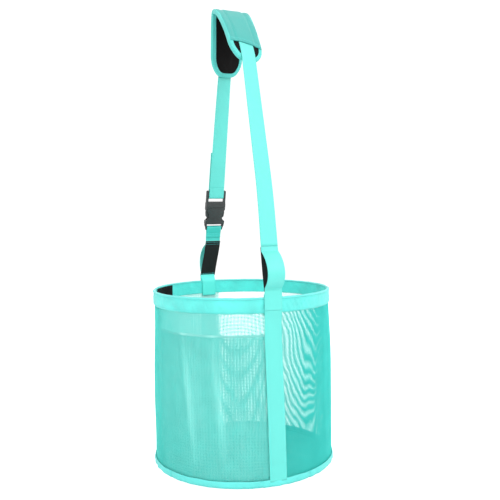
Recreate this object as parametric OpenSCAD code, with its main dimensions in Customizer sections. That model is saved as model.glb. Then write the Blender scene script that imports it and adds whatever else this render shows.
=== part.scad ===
// Fruit picking bag: a round mesh bag that hangs from one padded shoulder strap.
// Millimetres. The origin is under the crest of the shoulder pad, where the bag hangs.
// X runs along the pad's width, -Y is the front of the bag and +Z is up.

/* [Bag] */
// Diameter of the bag over the rim band
bag_d = 320; // [240:1:400]
// Height from the base to the top of the rim
bag_h = 310; // [220:1:420]
// Thickness of the mesh cloth of the wall
mesh_t = 1.2; // [0.8:0.1:1.6]
// Openings across each half of the wall, which stand for the fine mesh
mesh_across = 12; // [6:1:12]
// Openings up the wall
mesh_up = 7; // [4:1:10]
// Share of the spacing that an opening takes, across and up
mesh_open = 0.74; // [0.5:0.02:0.8]
// Thickness of the cloth base
base_t = 1.5; // [1:0.1:3]
// Height of the tape that binds the base seam
binding_h = 13; // [8:1:24]
// Thickness of that tape
binding_t = 1.2; // [0.8:0.1:2]
// How far the tape turns in under the base
binding_lip = 9; // [4:1:20]
// Diameter of the wire hoop inside the base seam
wire_d = 3; // [2:0.5:5]

/* [Rim] */
// Height of the band round the mouth
band_h = 26; // [20:1:40]
// Thickness of each layer of the band
band_t = 0.8; // [0.5:0.1:1.5]
// Thickness of the flat hoop that the band holds
hoop_t = 1.6; // [1:0.1:3]
// How far the mesh reaches up between the layers of the band
seam_h = 6; // [4:1:10]
// How far the edge tape stands up over the band
edge_h = 2; // [1.5:0.1:3]
// Length of the hook-and-loop patch that closes the hoop's sleeve
patch_l = 75; // [40:1:120]
// Thickness of that patch
patch_t = 1.4; // [0.8:0.1:2.5]
// Angle from the rear strip to the patch
patch_angle = 37; // [15:1:80]

/* [Inner layers] */
// Height of the hem of the inner pocket above the base
pocket_h = 250; // [150:1:255]
// Angle that the inner layers reach round the wall
pocket_angle = 82; // [40:1:86]
// Thickness of the inner layers
lining_t = 0.8; // [0.5:0.1:1.5]
// Height of the hem tape along the pocket's top
hem_h = 4; // [3:0.5:10]

/* [Webbing] */
// Width of the webbing
web_w = 30; // [25:1:38]
// Thickness of the webbing
web_t = 1.6; // [1.2:0.1:2.2]
// Thickness of the backing tape behind the belt loops
tape_t = 1.2; // [0.8:0.1:2]
// Length of the backing tape above the rim
tape_l = 74; // [66:1:100]
// Straight distance that a belt loop spans between its two feet
loop_span = 58; // [50:1:64]
// How far a belt loop bulges
loop_bulge = 21; // [12:1:26]
// Length of each sewn foot of a belt loop
loop_foot = 8; // [5:1:12]
// Room over the rim that lets the bag tilt
tilt_room = 7; // [6:0.5:12]

/* [Shoulder pad] */
// Height of the pad's crest above the rim
crest_h = 500; // [400:1:650]
// How far the crest lies behind the middle of the bag
crest_y = 30; // [0:1:50]
// Width of the pad
pad_w = 67; // [55:1:90]
// Thickness of the pad under the webbing
pad_t = 6; // [4:0.5:6.5]
// How far the front half of the pad spreads forwards
front_spread = 87; // [70:1:110]
// How far the front half of the pad reaches down
front_drop = 104; // [90:1:130]
// How far the rear half spreads backwards
rear_spread = 34; // [25:1:60]
// How far the rear half reaches down
rear_drop = 110; // [90:1:130]
// How far the cut-off corners reach in from the pad's edges
corner_w = 12; // [4:1:16]
// Thickness of the outer cover
cover_t = 1.1; // [0.8:0.1:2]
// Thickness of the tape that binds the pad's edge
edging_t = 1.4; // [0.8:0.1:2.5]
// How much the front of the pad turns about its length
front_twist = 16; // [0:1:25]
// How much the rear of the pad turns about its length
rear_twist = 18; // [0:1:25]

/* [Side-release buckle] */
// Distance along the rear webbing from the rim to the buckle's mouth
buckle_at = 142; // [138:1:170]
// Width of the buckle's arms beside the webbing
arm_w = 4.25; // [3.5:0.25:5]
// Length of the female half behind its mouth
shell_l = 33; // [30:1:38]
// Thickness of the female half
shell_t = 12; // [11:0.5:14]
// Height of the space for the prongs
bay_t = 6.4; // [6:0.1:7]
// Width of the waist where the prongs stand out
waist_w = 26.6; // [24:0.2:30]
// Length of the male half's solid foot
foot_l = 11.5; // [9:0.5:14]
// Thickness of that foot
foot_t = 9; // [8:0.5:11]
// Diameter of the bars that the webbing turns round
bar_d = 4; // [3:0.1:5]
// Thickness of the prongs and the arms
prong_t = 5; // [4:0.1:5.6]
// How far each prong stands out past the mouth's side wall
catch_w = 1.7; // [1:0.1:2]
// Length of the loose end of the webbing above the adjuster
tail_l = 70; // [30:1:120]

/* [Fits] */
// Gap between pieces that move past each other
gap = 0.3; // [0.2:0.05:0.5]
// Gap between webbing and the plastic that it runs through
slack = 0.5; // [0.3:0.1:0.8]
// Gap between layers that are sewn on each other
sewn_gap = 0.2; // [0.1:0.05:0.4]

/* [Hidden] */
$fn = 96;

// Radii of the layers, from the outside in
band_r = bag_d / 2;
mesh_r = band_r - band_t;
mesh_in_r = mesh_r - mesh_t;
sleeve_t = max(mesh_t, hoop_t);
band_in_r = mesh_r - sleeve_t;
rim_in_r = band_in_r - band_t;
lining_r = mesh_in_r - gap;

// Heights above the base
lip_t = binding_t - 0.2;
band_z = bag_h - band_h;
band_top = bag_h - edge_h;
panel_top = lip_t + 0.2 + base_t;
wall_z = lip_t + gap;
layer_z = panel_top + wire_d + 2;
strip_angle = 2 * asin(web_w / 2 / band_r);

// Where the strap's ends straddle the rim
plate_y = band_r + web_t + gap;
tab_y = sqrt(pow(rim_in_r - patch_t, 2) - pow(web_w, 2));
edge_over = 0.4;
saddle_z = bag_h + tilt_room;
foot_y = plate_y + web_t / 2;
foot_z = saddle_z + web_t;

// The pad's crest and ends, as [y, z] above the base
path_z = bag_h + crest_h;
crest = [crest_y, path_z];
front_end = [crest_y - front_spread, path_z - front_drop];
rear_end = [crest_y + rear_spread, path_z - rear_drop];
front_foot = [-foot_y, foot_z];
rear_foot = [foot_y, foot_z];
front_leg_l = norm(front_end - front_foot);
rear_leg_l = norm(rear_end - rear_foot);
front_dir = (front_end - front_foot) / front_leg_l;
rear_dir = (rear_end - rear_foot) / rear_leg_l;
rear_lean = atan2(-rear_dir[0], rear_dir[1]);
front_lean = atan2(front_dir[0], front_dir[1]);
seat_z = path_z - web_t / 2 - pad_t;

// The belt loops
loop_l = loop_span + 2 * loop_foot;
loop_r = (pow(loop_span / 2, 2) + pow(loop_bulge, 2)) / (2 * loop_bulge);

// The buckle, with its own origin in the middle of its mouth
lane_w = web_w + 2 * slack;
buckle_w = lane_w + 2 * arm_w;
wrap_r = bar_d / 2 + gap;
layer_y = wrap_r + web_t / 2;
buckle_n = web_t / 2;
slot_l = web_t + bar_d + slack;
mid_bar_v = foot_l + slot_l + bar_d / 2 + 2;
top_bar_v = mid_bar_v + bar_d / 2 + slot_l;
male_top = top_bar_v + bar_d;
shell_bar_v = -shell_l - web_t - 2 * slack - bar_d / 2 - gap - 3;
shell_end = shell_bar_v - bar_d / 2 - 2;
side_t = 2.5;
mouth_w = buckle_w - 2 * side_t;
collar_l = 4.5;
ledge_v = -collar_l - 0.5;
waist_r = 12;
flare_r = 16.5;
crown_r = 120;
floor_t = 3;
foot_cut = 4;
tongue_w = 6;
prong_w = 2.8;
flex_room = 2.25;
prong_x = mouth_w / 2 - prong_w - flex_room;
prong_l = 21;

// ---------- curves and sweeps ----------

// A point on a cubic curve with four control points
function curve(p, t) = pow(1 - t, 3) * p[0] + 3 * t * pow(1 - t, 2) * p[1]
    + 3 * t * t * (1 - t) * p[2] + pow(t, 3) * p[3];

// The direction of that curve
function heading(p, t) = let (d = pow(1 - t, 2) * (p[1] - p[0]) + 2 * t * (1 - t) * (p[2] - p[1])
    + t * t * (p[3] - p[2])) d / norm(d);

// The pad's halves leave the crest level and end in line with the webbing
crest_run = 20;
end_run = 40;
front_curve = [crest, crest - [crest_run, 0], front_end + end_run * front_dir, front_end];
rear_curve = [crest, crest + [crest_run, 0], rear_end + end_run * rear_dir, rear_end];

// A station along the strap: [y, z], the way on, and its turn about its length
// s runs from -1 at the pad's front end over the crest at 0 to 1 at its rear end
function station(s) = s < 0
    ? [curve(front_curve, -s), -heading(front_curve, -s), front_twist * sin(-90 * s)]
    : [curve(rear_curve, s), heading(rear_curve, s), -rear_twist * sin(90 * s)];

// A place across a station: x to the side and n outwards from the middle of the webbing
function place_at(st, x, n) = let (
    ahead = [0, st[1][0], st[1][1]],
    back = cross(ahead, [1, 0, 0]),
    side = [cos(st[2]), 0, 0] + back * sin(st[2]),
    out = [sin(st[2]), 0, 0] - back * cos(st[2])
) [0, st[0][0], st[0][1]] + side * x + out * n;

function ring(st, outline) = [for (c = outline) place_at(st, c[0], c[1])];

// A closed skin over a row of rings, which all have the same number of points
module skin(rings, closed = false) {
    m = len(rings[0]);
    k = len(rings);
    last = closed ? k - 1 : k - 2;
    sides = [for (i = [0:last], j = [0:m - 1], half = [0, 1]) let (
        a = i * m + j, b = i * m + (j + 1) % m,
        d = ((i + 1) % k) * m + j, c = ((i + 1) % k) * m + (j + 1) % m
    ) half == 0 ? [a, b, c] : [a, c, d]];
    caps = closed ? [] : [[for (j = [m - 1:-1:0]) j], [for (j = [0:m - 1]) (k - 1) * m + j]];
    polyhedron(points = [for (r = rings, p = r) p], faces = concat(sides, caps), convexity = 8);
}

// ---------- placing ----------

// From the middle of the base to the origin under the pad's crest
module hung() translate([0, -crest_y, -seat_z]) children();

// An outline drawn as [y, z] becomes a strip of width w across X
module across(w) rotate([90, 0, 90]) linear_extrude(w, center = true) children();

// A strap's own plane: outline X is outwards and Y is up along the webbing from the rim
module on_rear_leg() translate([0, rear_foot[0], rear_foot[1]]) rotate([rear_lean, 0, 0]) children();
module on_front_leg() translate([0, front_foot[0], front_foot[1]]) rotate([-front_lean, 0, 0])
    mirror([0, 1, 0]) children();

// The buckle's place on the rear webbing
module at_buckle() on_rear_leg() translate([0, buckle_n, buckle_at]) children();

// A tube wall between two radii, from angle a over the angle b
module wall(outer_r, inner_r, low, high, a = 0, b = 360)
    rotate([0, 0, a]) rotate_extrude(angle = b)
        translate([inner_r, low]) square([outer_r - inner_r, high - low]);

// ---------- bag ----------

// Half of the wall, from angle a over half a turn, with a plain grid of openings between the strips
module wall_half(a) difference() {
    wall(mesh_r, mesh_in_r, wall_z, band_z + seam_h, a, 180);
    step_a = (180 - strip_angle) / mesh_across;
    step_z = (band_z - binding_h) / mesh_up;
    open_w = mesh_open * step_a * mesh_r * PI / 180;
    open_h = mesh_open * step_z;
    for (i = [0:mesh_across - 1], j = [0:mesh_up - 1])
        rotate([0, 0, a + strip_angle / 2 + (i + 0.5) * step_a])
            translate([mesh_in_r - 2, -open_w / 2, binding_h + (j + 0.5) * step_z - open_h / 2])
                cube([mesh_t + 4, open_w, open_h]);
}

module wall_mesh_left() hung() color("turquoise") wall_half(90);

module wall_mesh_right() hung() color("turquoise") wall_half(-90);

module rim_hoop() hung() color("gainsboro")
    wall(mesh_r, mesh_r - hoop_t, band_z + seam_h + gap, band_top);

module rim_band_outer() hung() color("aquamarine") wall(band_r, mesh_r, band_z, band_top);

module rim_band_inner() hung() color("mediumturquoise") wall(band_in_r, rim_in_r, band_z, band_top);

// An edge with cut corners over the tops of both layers
module rim_edge_tape() hung() color("aquamarine") rotate_extrude() polygon([
    [rim_in_r - edge_over, band_top], [band_r + edge_over, band_top],
    [band_r + edge_over, bag_h - edge_h / 2], [band_r - edge_over, bag_h],
    [rim_in_r + edge_over, bag_h], [rim_in_r - edge_over, bag_h - edge_h / 2]
]);

module rim_closure_patch() hung() color("black")
    wall(rim_in_r, rim_in_r - patch_t, band_z, band_top, 90 + patch_angle, patch_l / rim_in_r * 180 / PI);

// Webbing down the wall: it lies on the mesh, then steps out over the band
module wall_strip(toward) hung() rotate([0, 0, toward - strip_angle / 2]) rotate_extrude(angle = strip_angle)
    polygon([
        [mesh_r, binding_h + gap], [mesh_r + web_t, binding_h + gap], [mesh_r + web_t, band_z - seam_h],
        [band_r + web_t, band_z], [band_r + web_t, band_top], [band_r, band_top],
        [band_r, band_z], [mesh_r, band_z - seam_h]
    ]);

module front_strip() color("aquamarine") wall_strip(-90);

module rear_strip() color("aquamarine") wall_strip(90);

module inner_pocket() hung() color("turquoise")
    wall(lining_r, lining_r - lining_t, layer_z, pocket_h - hem_h, -90 - pocket_angle, pocket_angle);

module pocket_hem() hung() color("aquamarine")
    wall(lining_r, lining_r - lining_t - 0.4, pocket_h - hem_h, pocket_h, -90 - pocket_angle, pocket_angle);

module rear_mesh_lining() hung() color("turquoise")
    wall(lining_r, lining_r - lining_t, layer_z, band_z - gap, 90 - strip_angle / 2, pocket_angle);

// ---------- base ----------

// A round of cloth whose middle hangs level with the underside of the binding
module base_panel() hung() color("lightseagreen") rotate_extrude() polygon([
    [0, 0], [mesh_r - binding_lip - 1, 0], [mesh_r - binding_lip, lip_t + 0.2],
    [mesh_in_r - gap, lip_t + 0.2], [mesh_in_r - gap, panel_top],
    [mesh_r - binding_lip - 1, panel_top], [mesh_r - binding_lip - 2, base_t], [0, base_t]
]);

// Tape folded round the corner between the wall and the base
module base_binding() hung() color("paleturquoise") union() {
    wall(mesh_r + gap + binding_t, mesh_r + gap, 0, binding_h);
    wall(mesh_r + gap + binding_t, mesh_r - binding_lip + 1, 0, lip_t);
}

module base_hoop() hung() color("silver") rotate_extrude()
    translate([mesh_in_r - gap - wire_d / 2, panel_top + wire_d / 2]) circle(d = wire_d, $fn = 32);

// ---------- strap ends and belt loops ----------

// Webbing that straddles the rim: a plate outside, a tab inside and a saddle over the top
module anchor_outline() difference() {
    translate([tab_y - web_t, band_z + seam_h])
        square([plate_y + 2 * web_t - tab_y, foot_z - band_z - seam_h]);
    translate([tab_y, band_z]) square([plate_y - tab_y, saddle_z - band_z]);
}

module front_anchor() hung() color("aquamarine") mirror([0, 1, 0]) across(web_w) anchor_outline();

module rear_anchor() hung() color("mediumturquoise") across(web_w) anchor_outline();

// How far up the leaning webbing its pieces start, so that their inner edge rests on the saddle
function seat(lean) = (web_t / 2 + tape_t) * tan(lean);

// Tape on the inner side of the webbing, from the rim to above the belt loop
module backing_tape(lean) translate([-web_w / 2, -web_t / 2 - tape_t, seat(lean)])
    cube([web_w, tape_t, tape_l - seat(lean)]);

// Two sewn feet and the slack webbing that bulges between them
module belt_loop(lean) across(web_w) union() {
    for (v = [seat(lean), loop_l - loop_foot]) translate([-web_t / 2, v]) square([web_t, loop_foot]);
    intersection() {
        translate([loop_bulge - loop_r, loop_l / 2]) difference() {
            circle(loop_r + web_t / 2);
            circle(loop_r - web_t / 2);
        }
        translate([-web_t / 2, 0]) square([loop_bulge + web_t, loop_l]);
    }
}

module front_backing_tape() hung() on_front_leg() color("#202020") backing_tape(front_lean);

module rear_backing_tape() hung() on_rear_leg() color("#202020") backing_tape(rear_lean);

module front_belt_loop() hung() on_front_leg() color("aquamarine") belt_loop(front_lean);

module rear_belt_loop() hung() on_rear_leg() color("aquamarine") belt_loop(rear_lean);

// ---------- strap and shoulder pad ----------

// The pad's stations: its corners at both ends are cut off over the last share of each half
pad_steps = 16;
corner_share = 0.17;
pad_stations = [-1, for (i = [-pad_steps:pad_steps]) i / pad_steps * (1 - corner_share), 1];

// Layers across the pad, outwards from the middle of the webbing
pad_high = -web_t / 2 - sewn_gap;
pad_low = -web_t / 2 - pad_t;
cover_low = web_t / 2 + sewn_gap;
pad_round = 1.5;
edge_rise = 0.4;
pass_x = web_w / 2 + 1;

// The webbing from the front belt loop up over the crest to the pad's rear end
module shoulder_strap() hung() color("aquamarine") {
    leg_steps = 8;
    turn_from = front_foot + (tape_l + 1) * front_dir;
    loop_end = front_foot + loop_l * front_dir;
    leg = [for (i = [0:leg_steps - 1]) let (f = i / leg_steps)
        [turn_from + f * (front_end - turn_from), front_dir, front_twist * f]];
    over = [for (s = pad_stations) station(s)];
    half = web_w / 2;
    skin([for (st = concat([[loop_end, front_dir, 0]], leg, over)) ring(st, [
        [-half, -web_t / 2], [0, -web_t / 2], [half, -web_t / 2], [half, web_t / 2], [-half, web_t / 2]
    ])]);
}

// Half the width of the pad at a station
function half_w(s) = pad_w / 2 - corner_w * max(0, (abs(s) - 1 + corner_share) / corner_share);

// Foam in black cloth, with softened edges
module pad_base() hung() color("#1d1f20") skin([for (s = pad_stations) let (h = half_w(s)) ring(station(s), [
    [-h, pad_low + pad_round], [pad_round - h, pad_low], [h - pad_round, pad_low], [h, pad_low + pad_round],
    [h, pad_high], [web_w / 2, pad_high], [0, pad_high], [-web_w / 2, pad_high], [-h, pad_high]
])]);

// Outer cover: it lies on the foam at its sides and passes over the webbing in the middle
cover_end = 0.8;
module pad_cover() hung() color("mediumturquoise") {
    h = pad_w / 2;
    in_x = web_w / 2 + gap;
    out_x = in_x + 2 * (cover_low - pad_high);
    low = pad_high + sewn_gap;
    high = low + cover_t;
    skin([for (s = pad_stations) if (abs(s) < cover_end) ring(station(s), [
        [-h, low], [-out_x, low], [-in_x, cover_low], [in_x, cover_low], [out_x, low], [h, low],
        [h, high], [out_x + cover_t, high], [in_x + cover_t, cover_low + cover_t],
        [-in_x - cover_t, cover_low + cover_t], [-out_x - cover_t, high], [-h, high]
    ])]);
}

// A ring of the edging at a station and a place x across it. It stands out across by out_x and
// along by out_s, and is high at the sides and low where the webbing passes over it.
function edge_ring(s, x, out_x, out_s) = let (
    st = station(s),
    ahead = [0, st[1][0], st[1][1]],
    low = pad_low - edge_rise,
    high = abs(x) > pass_x ? pad_high + cover_t + 2 * edge_rise : pad_high
) [for (c = [[sewn_gap, low], [sewn_gap, high], [edging_t, high], [edging_t, low]])
    place_at(st, x + out_x * c[0], c[1]) + out_s * c[0] * ahead];

// Tape round the whole edge of the pad, as one closed band
module pad_edging() hung() color("aquamarine") {
    last = len(pad_stations) - 1;
    across_end = [-pass_x - 1, -pass_x, pass_x, pass_x + 1];
    skin(concat(
        [for (s = pad_stations) edge_ring(s, -half_w(s), -1, abs(s) < 1 ? 0 : s)],
        [for (x = across_end) edge_ring(1, x, 0, 1)],
        [for (i = [last:-1:0]) let (s = pad_stations[i]) edge_ring(s, half_w(s), 1, abs(s) < 1 ? 0 : s)],
        [for (x = across_end) edge_ring(-1, -x, 0, -1)]
    ), closed = true);
}

// The webbing from the adjuster up to the pad's rear end
module rear_strap_leg() hung() color("mediumturquoise") {
    steps = 8;
    out = [rear_dir[1], -rear_dir[0]];
    foot = rear_foot + (buckle_at + male_top + 2) * rear_dir + (buckle_n - layer_y) * out;
    head = rear_end - gap * rear_dir;
    way = (head - foot) / norm(head - foot);
    half = web_w / 2;
    skin([for (i = [0:steps]) let (f = i / steps)
        ring([head + f * (foot - head), -way, -rear_twist * (1 - f)], [
            [-half, -web_t / 2], [half, -web_t / 2], [half, web_t / 2], [-half, web_t / 2]
        ])]);
}

// ---------- side-release buckle ----------

// A U of webbing round a bar: the bar's end is down and its two layers run up to the height top
module webbing_turn(top) {
    difference() {
        circle(wrap_r + web_t);
        circle(wrap_r);
        translate([-2 * bar_d, 0]) square(4 * bar_d);
    }
    for (side = [-1, 1]) translate([side * layer_y - web_t / 2, 0]) square([web_t, top]);
}

// The lower webbing: round the female half's bar, then both layers run together down to the loop
module rear_lower_strap() hung() color("lightseagreen") {
    end = loop_l - buckle_at;
    join = shell_bar_v - 11;
    outer_r = wrap_r + web_t;
    at_buckle() across(web_w) difference() {
        union() {
            translate([0, shell_bar_v]) circle(outer_r);
            polygon([
                [-outer_r, shell_bar_v], [-web_t, join], [-web_t, end],
                [web_t, end], [web_t, join], [outer_r, shell_bar_v]
            ]);
        }
        translate([0, shell_bar_v]) circle(wrap_r);
        polygon([[-wrap_r, shell_bar_v], [0, join], [wrap_r, shell_bar_v]]);
    }
}

// The shell seen from the front: a collar, a waist that bares the prongs, and a flared end with arms
module shell_outline() difference() {
    translate([-buckle_w / 2, shell_end]) square([buckle_w, -shell_end]);
    for (side = [0, 1]) mirror([side, 0]) {
        translate([waist_w / 2 + waist_r, ledge_v + 1 - waist_r]) circle(waist_r);
        translate([mouth_w / 2 - gap, ledge_v - waist_r]) square([2 * side_t, waist_r]);
        translate([mouth_w / 2 + flare_r, shell_end]) circle(flare_r);
    }
    translate([-lane_w / 2, shell_end - 1]) square([lane_w, -shell_l - shell_end + 1]);
}

// Both broad faces are crowned across the shell's width
module crown(h) intersection_for(side = [-1, 1])
    translate([0, side * (crown_r - shell_t / 2), shell_end]) cylinder(r = crown_r, h = h, $fn = 200);

module buckle_female() hung() at_buckle() color("#2b2e2f") {
    difference() {
        intersection() {
            rotate([90, 0, 0]) linear_extrude(shell_t, center = true) shell_outline();
            crown(-shell_end);
        }
        translate([-mouth_w / 2, -bay_t / 2, floor_t - shell_l]) cube([mouth_w, bay_t, shell_l]);
        for (low = [-shell_t, prong_t / 2]) translate([-buckle_w, low, shell_end - 1])
            cube([2 * buckle_w, shell_t - prong_t / 2, 1 - shell_l - shell_end]);
    }
    translate([0, 0, shell_bar_v]) rotate([0, 90, 0]) cylinder(d = bar_d, h = lane_w + 1, center = true);
}

// The ladder seen from the front: two arms with rounded tips on a solid foot
module ladder_outline() difference() {
    union() {
        translate([-buckle_w / 2, 0]) square([buckle_w, male_top - arm_w / 2]);
        for (side = [-1, 1]) translate([side * (lane_w + arm_w) / 2, male_top - arm_w / 2]) circle(d = arm_w);
    }
    translate([-lane_w / 2, foot_l]) square([lane_w, male_top]);
}

module buckle_male() hung() at_buckle() color("#26292a") {
    rotate([90, 0, 0]) linear_extrude(prong_t, center = true) translate([0, gap]) ladder_outline();
    across(buckle_w) polygon([
        [-foot_t / 2, gap], [foot_t / 2, gap], [foot_t / 2, foot_l - foot_cut], [prong_t / 2, foot_l],
        [-prong_t / 2, foot_l], [-foot_t / 2, foot_l - foot_cut]
    ]);
    translate([0, 0, mid_bar_v]) rotate([0, 90, 0]) cylinder(d = bar_d, h = lane_w + 1, center = true);
    translate([0, 0, top_bar_v + bar_d / 2]) cube([lane_w + 1, bar_d - 0.4, bar_d], center = true);
    translate([-tongue_w / 2, -prong_t / 2, -prong_l - 3]) cube([tongue_w, prong_t, prong_l + 4]);
}

// The webbing round the middle bar, with its loose end up the outer side of the strap
module adjuster_webbing() hung() at_buckle() color("mediumturquoise") across(web_w) {
    translate([0, mid_bar_v]) webbing_turn(male_top - mid_bar_v + 1);
    translate([wrap_r, mid_bar_v]) square([web_t, male_top - mid_bar_v + tail_l]);
}

// A springy arm whose head stands out through the waist and catches behind the collar
module prong() rotate([90, 0, 0]) linear_extrude(prong_t + 0.4, center = true) {
    head_x = mouth_w / 2 + catch_w;
    head_v = ledge_v - 0.7;
    polygon([
        [prong_x, -gap], [prong_x + prong_w, -gap], [prong_x + prong_w, head_v + 1], [head_x, head_v],
        [head_x + 0.3, head_v - 5], [head_x - 0.6, head_v - 12], [prong_x + prong_w, -prong_l],
        [prong_x + 1, -prong_l - 1], [prong_x, -prong_l]
    ]);
}

module left_prong() hung() at_buckle() color("#26292a") mirror([1, 0, 0]) prong();

module right_prong() hung() at_buckle() color("#26292a") prong();

wall_mesh_left();
wall_mesh_right();
rim_hoop();
rim_band_outer();
rim_band_inner();
rim_edge_tape();
rim_closure_patch();
front_strip();
rear_strip();
inner_pocket();
pocket_hem();
rear_mesh_lining();
base_panel();
base_binding();
base_hoop();
front_anchor();
front_backing_tape();
front_belt_loop();
shoulder_strap();
pad_base();
pad_cover();
pad_edging();
rear_anchor();
rear_backing_tape();
rear_belt_loop();
rear_lower_strap();
buckle_female();
rear_strap_leg();
buckle_male();
adjuster_webbing();
left_prong();
right_prong();
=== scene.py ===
# %% [markdown]
# # A fruit picking bag
# A round bag of open mesh cloth hangs from one padded shoulder strap. The solids, joints and sizes
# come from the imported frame. This script dresses them as cloth, webbing and moulded plastic.
# Every length is in metres. The origin is under the crest of the shoulder pad, -Y is the front
# of the bag and +Z is up.

# %% Load the frame
import math
from functools import partial

import bmesh
import bpy
import numpy as np
from mathutils import Matrix, Vector


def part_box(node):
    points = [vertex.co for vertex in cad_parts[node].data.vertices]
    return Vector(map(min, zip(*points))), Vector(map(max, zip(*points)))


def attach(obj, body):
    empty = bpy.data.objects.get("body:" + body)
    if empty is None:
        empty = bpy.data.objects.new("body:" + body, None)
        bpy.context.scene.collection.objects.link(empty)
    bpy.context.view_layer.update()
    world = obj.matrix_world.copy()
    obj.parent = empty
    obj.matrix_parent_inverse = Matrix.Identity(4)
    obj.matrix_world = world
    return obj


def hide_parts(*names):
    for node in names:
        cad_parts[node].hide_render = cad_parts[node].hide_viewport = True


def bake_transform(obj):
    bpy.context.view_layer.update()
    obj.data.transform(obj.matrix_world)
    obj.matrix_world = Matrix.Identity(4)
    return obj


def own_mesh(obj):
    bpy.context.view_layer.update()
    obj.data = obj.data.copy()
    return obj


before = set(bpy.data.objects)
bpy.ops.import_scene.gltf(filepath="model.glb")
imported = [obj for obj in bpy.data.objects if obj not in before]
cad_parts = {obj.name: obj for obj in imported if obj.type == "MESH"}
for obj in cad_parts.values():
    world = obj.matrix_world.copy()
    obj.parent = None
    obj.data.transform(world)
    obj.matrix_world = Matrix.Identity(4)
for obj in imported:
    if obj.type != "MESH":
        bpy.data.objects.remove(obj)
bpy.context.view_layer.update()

# %% [markdown]
# ## Sizes
# The bag is a tube round a vertical axis. Its radii and heights are read from the solids.
# The strap's path is a pair of cubic curves over the shoulder, with a straight leg below each.

# %% Sizes
band_lo, band_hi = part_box("rim_band_outer")
AXIS_Y = (band_lo.y + band_hi.y) / 2
BAND_R = (band_hi.x - band_lo.x) / 2
BAND_LOW, BAND_TOP = band_lo.z, band_hi.z
RIM_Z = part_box("rim_edge_tape")[1].z
BASE_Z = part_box("base_binding")[0].z
BIND_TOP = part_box("base_binding")[1].z
MESH_R = BAND_R - 0.0008
INNER_R = BAND_R - 0.0032
LINING_R = MESH_R - 0.0017
HEM_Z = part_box("pocket_hem")[1].z
FOLD_Z = BASE_Z + 0.290

WEB_W, WEB_T = 0.030, 0.0016  # webbing: width and thickness
TAPE_T = 0.0012  # black backing tape
PAD_W, PAD_T, COVER_T = 0.067, 0.006, 0.0011  # pad: width, thickness, and its cover's cloth
CREST = np.array([0.0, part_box("shoulder_strap")[1].z - WEB_T / 2])
FRONT_END = CREST + [-0.087, -0.104]
REAR_END = CREST + [0.034, -0.110]
FOOT_Z = BASE_Z + 0.3186
FRONT_FOOT = np.array([AXIS_Y - BAND_R - 0.0027, FOOT_Z])
REAR_FOOT = np.array([AXIS_Y + BAND_R + 0.0027, FOOT_Z])
FRONT_TWIST, REAR_TWIST = math.radians(16), math.radians(18)
BUCKLE_AT = 0.142  # from the rear of the rim up to the middle of the buckle
LOOP_L = 0.074  # length of a belt loop's backing tape
STITCH = 0.0033  # from one stitch to the next
PAD_HIGH = -WEB_T / 2 - 0.0002
PAD_LOW = -WEB_T / 2 - PAD_T


# %% Directions along the strap
def unit(v):
    """Vectors of length one: v divided by the root of the sum of its squares."""
    return v / np.linalg.norm(v, axis=-1, keepdims=True)


FRONT_DIR = unit(FRONT_END - FRONT_FOOT)
REAR_DIR = unit(REAR_END - REAR_FOOT)
REAR_OUT = np.array([REAR_DIR[1], -REAR_DIR[0]])
FRONT_OUT = np.array([-FRONT_DIR[1], FRONT_DIR[0]])
print("bag radius", round(BAND_R, 4), "rim", round(RIM_Z, 4), "base", round(BASE_Z, 4))

# %% [markdown]
# ## Making meshes
# Every piece is a row of rings: a ring is a closed line of points, and neighbouring rings are
# joined by four-sided faces. One function makes one such solid or thousands of them at once,
# for the threads of the mesh cloth and for stitches. The UV map is in metres, so a weave keeps
# its real size.

# %% Making meshes
def mesh_object(name, verts, sizes, corners, uv):
    """A new object from its points, the number of corners of each face, and all corners and their
    places on the cloth in one row each."""
    me = bpy.data.meshes.new(name)
    me.vertices.add(len(verts))
    me.vertices.foreach_set("co", np.ascontiguousarray(verts, np.float32).ravel())
    me.loops.add(len(corners))
    me.loops.foreach_set("vertex_index", np.ascontiguousarray(corners, np.int32))
    me.polygons.add(len(sizes))
    starts = np.concatenate([[0], np.cumsum(sizes)[:-1]]).astype(np.int32)
    me.polygons.foreach_set("loop_start", starts)
    layer = me.uv_layers.new(name="UVMap")
    layer.data.foreach_set("uv", np.ascontiguousarray(uv, np.float32).ravel())
    me.update(calc_edges=True)
    me.polygons.foreach_set("use_smooth", np.ones(len(sizes), bool))
    obj = bpy.data.objects.new(name, me)
    bpy.context.scene.collection.objects.link(obj)
    return obj


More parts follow.
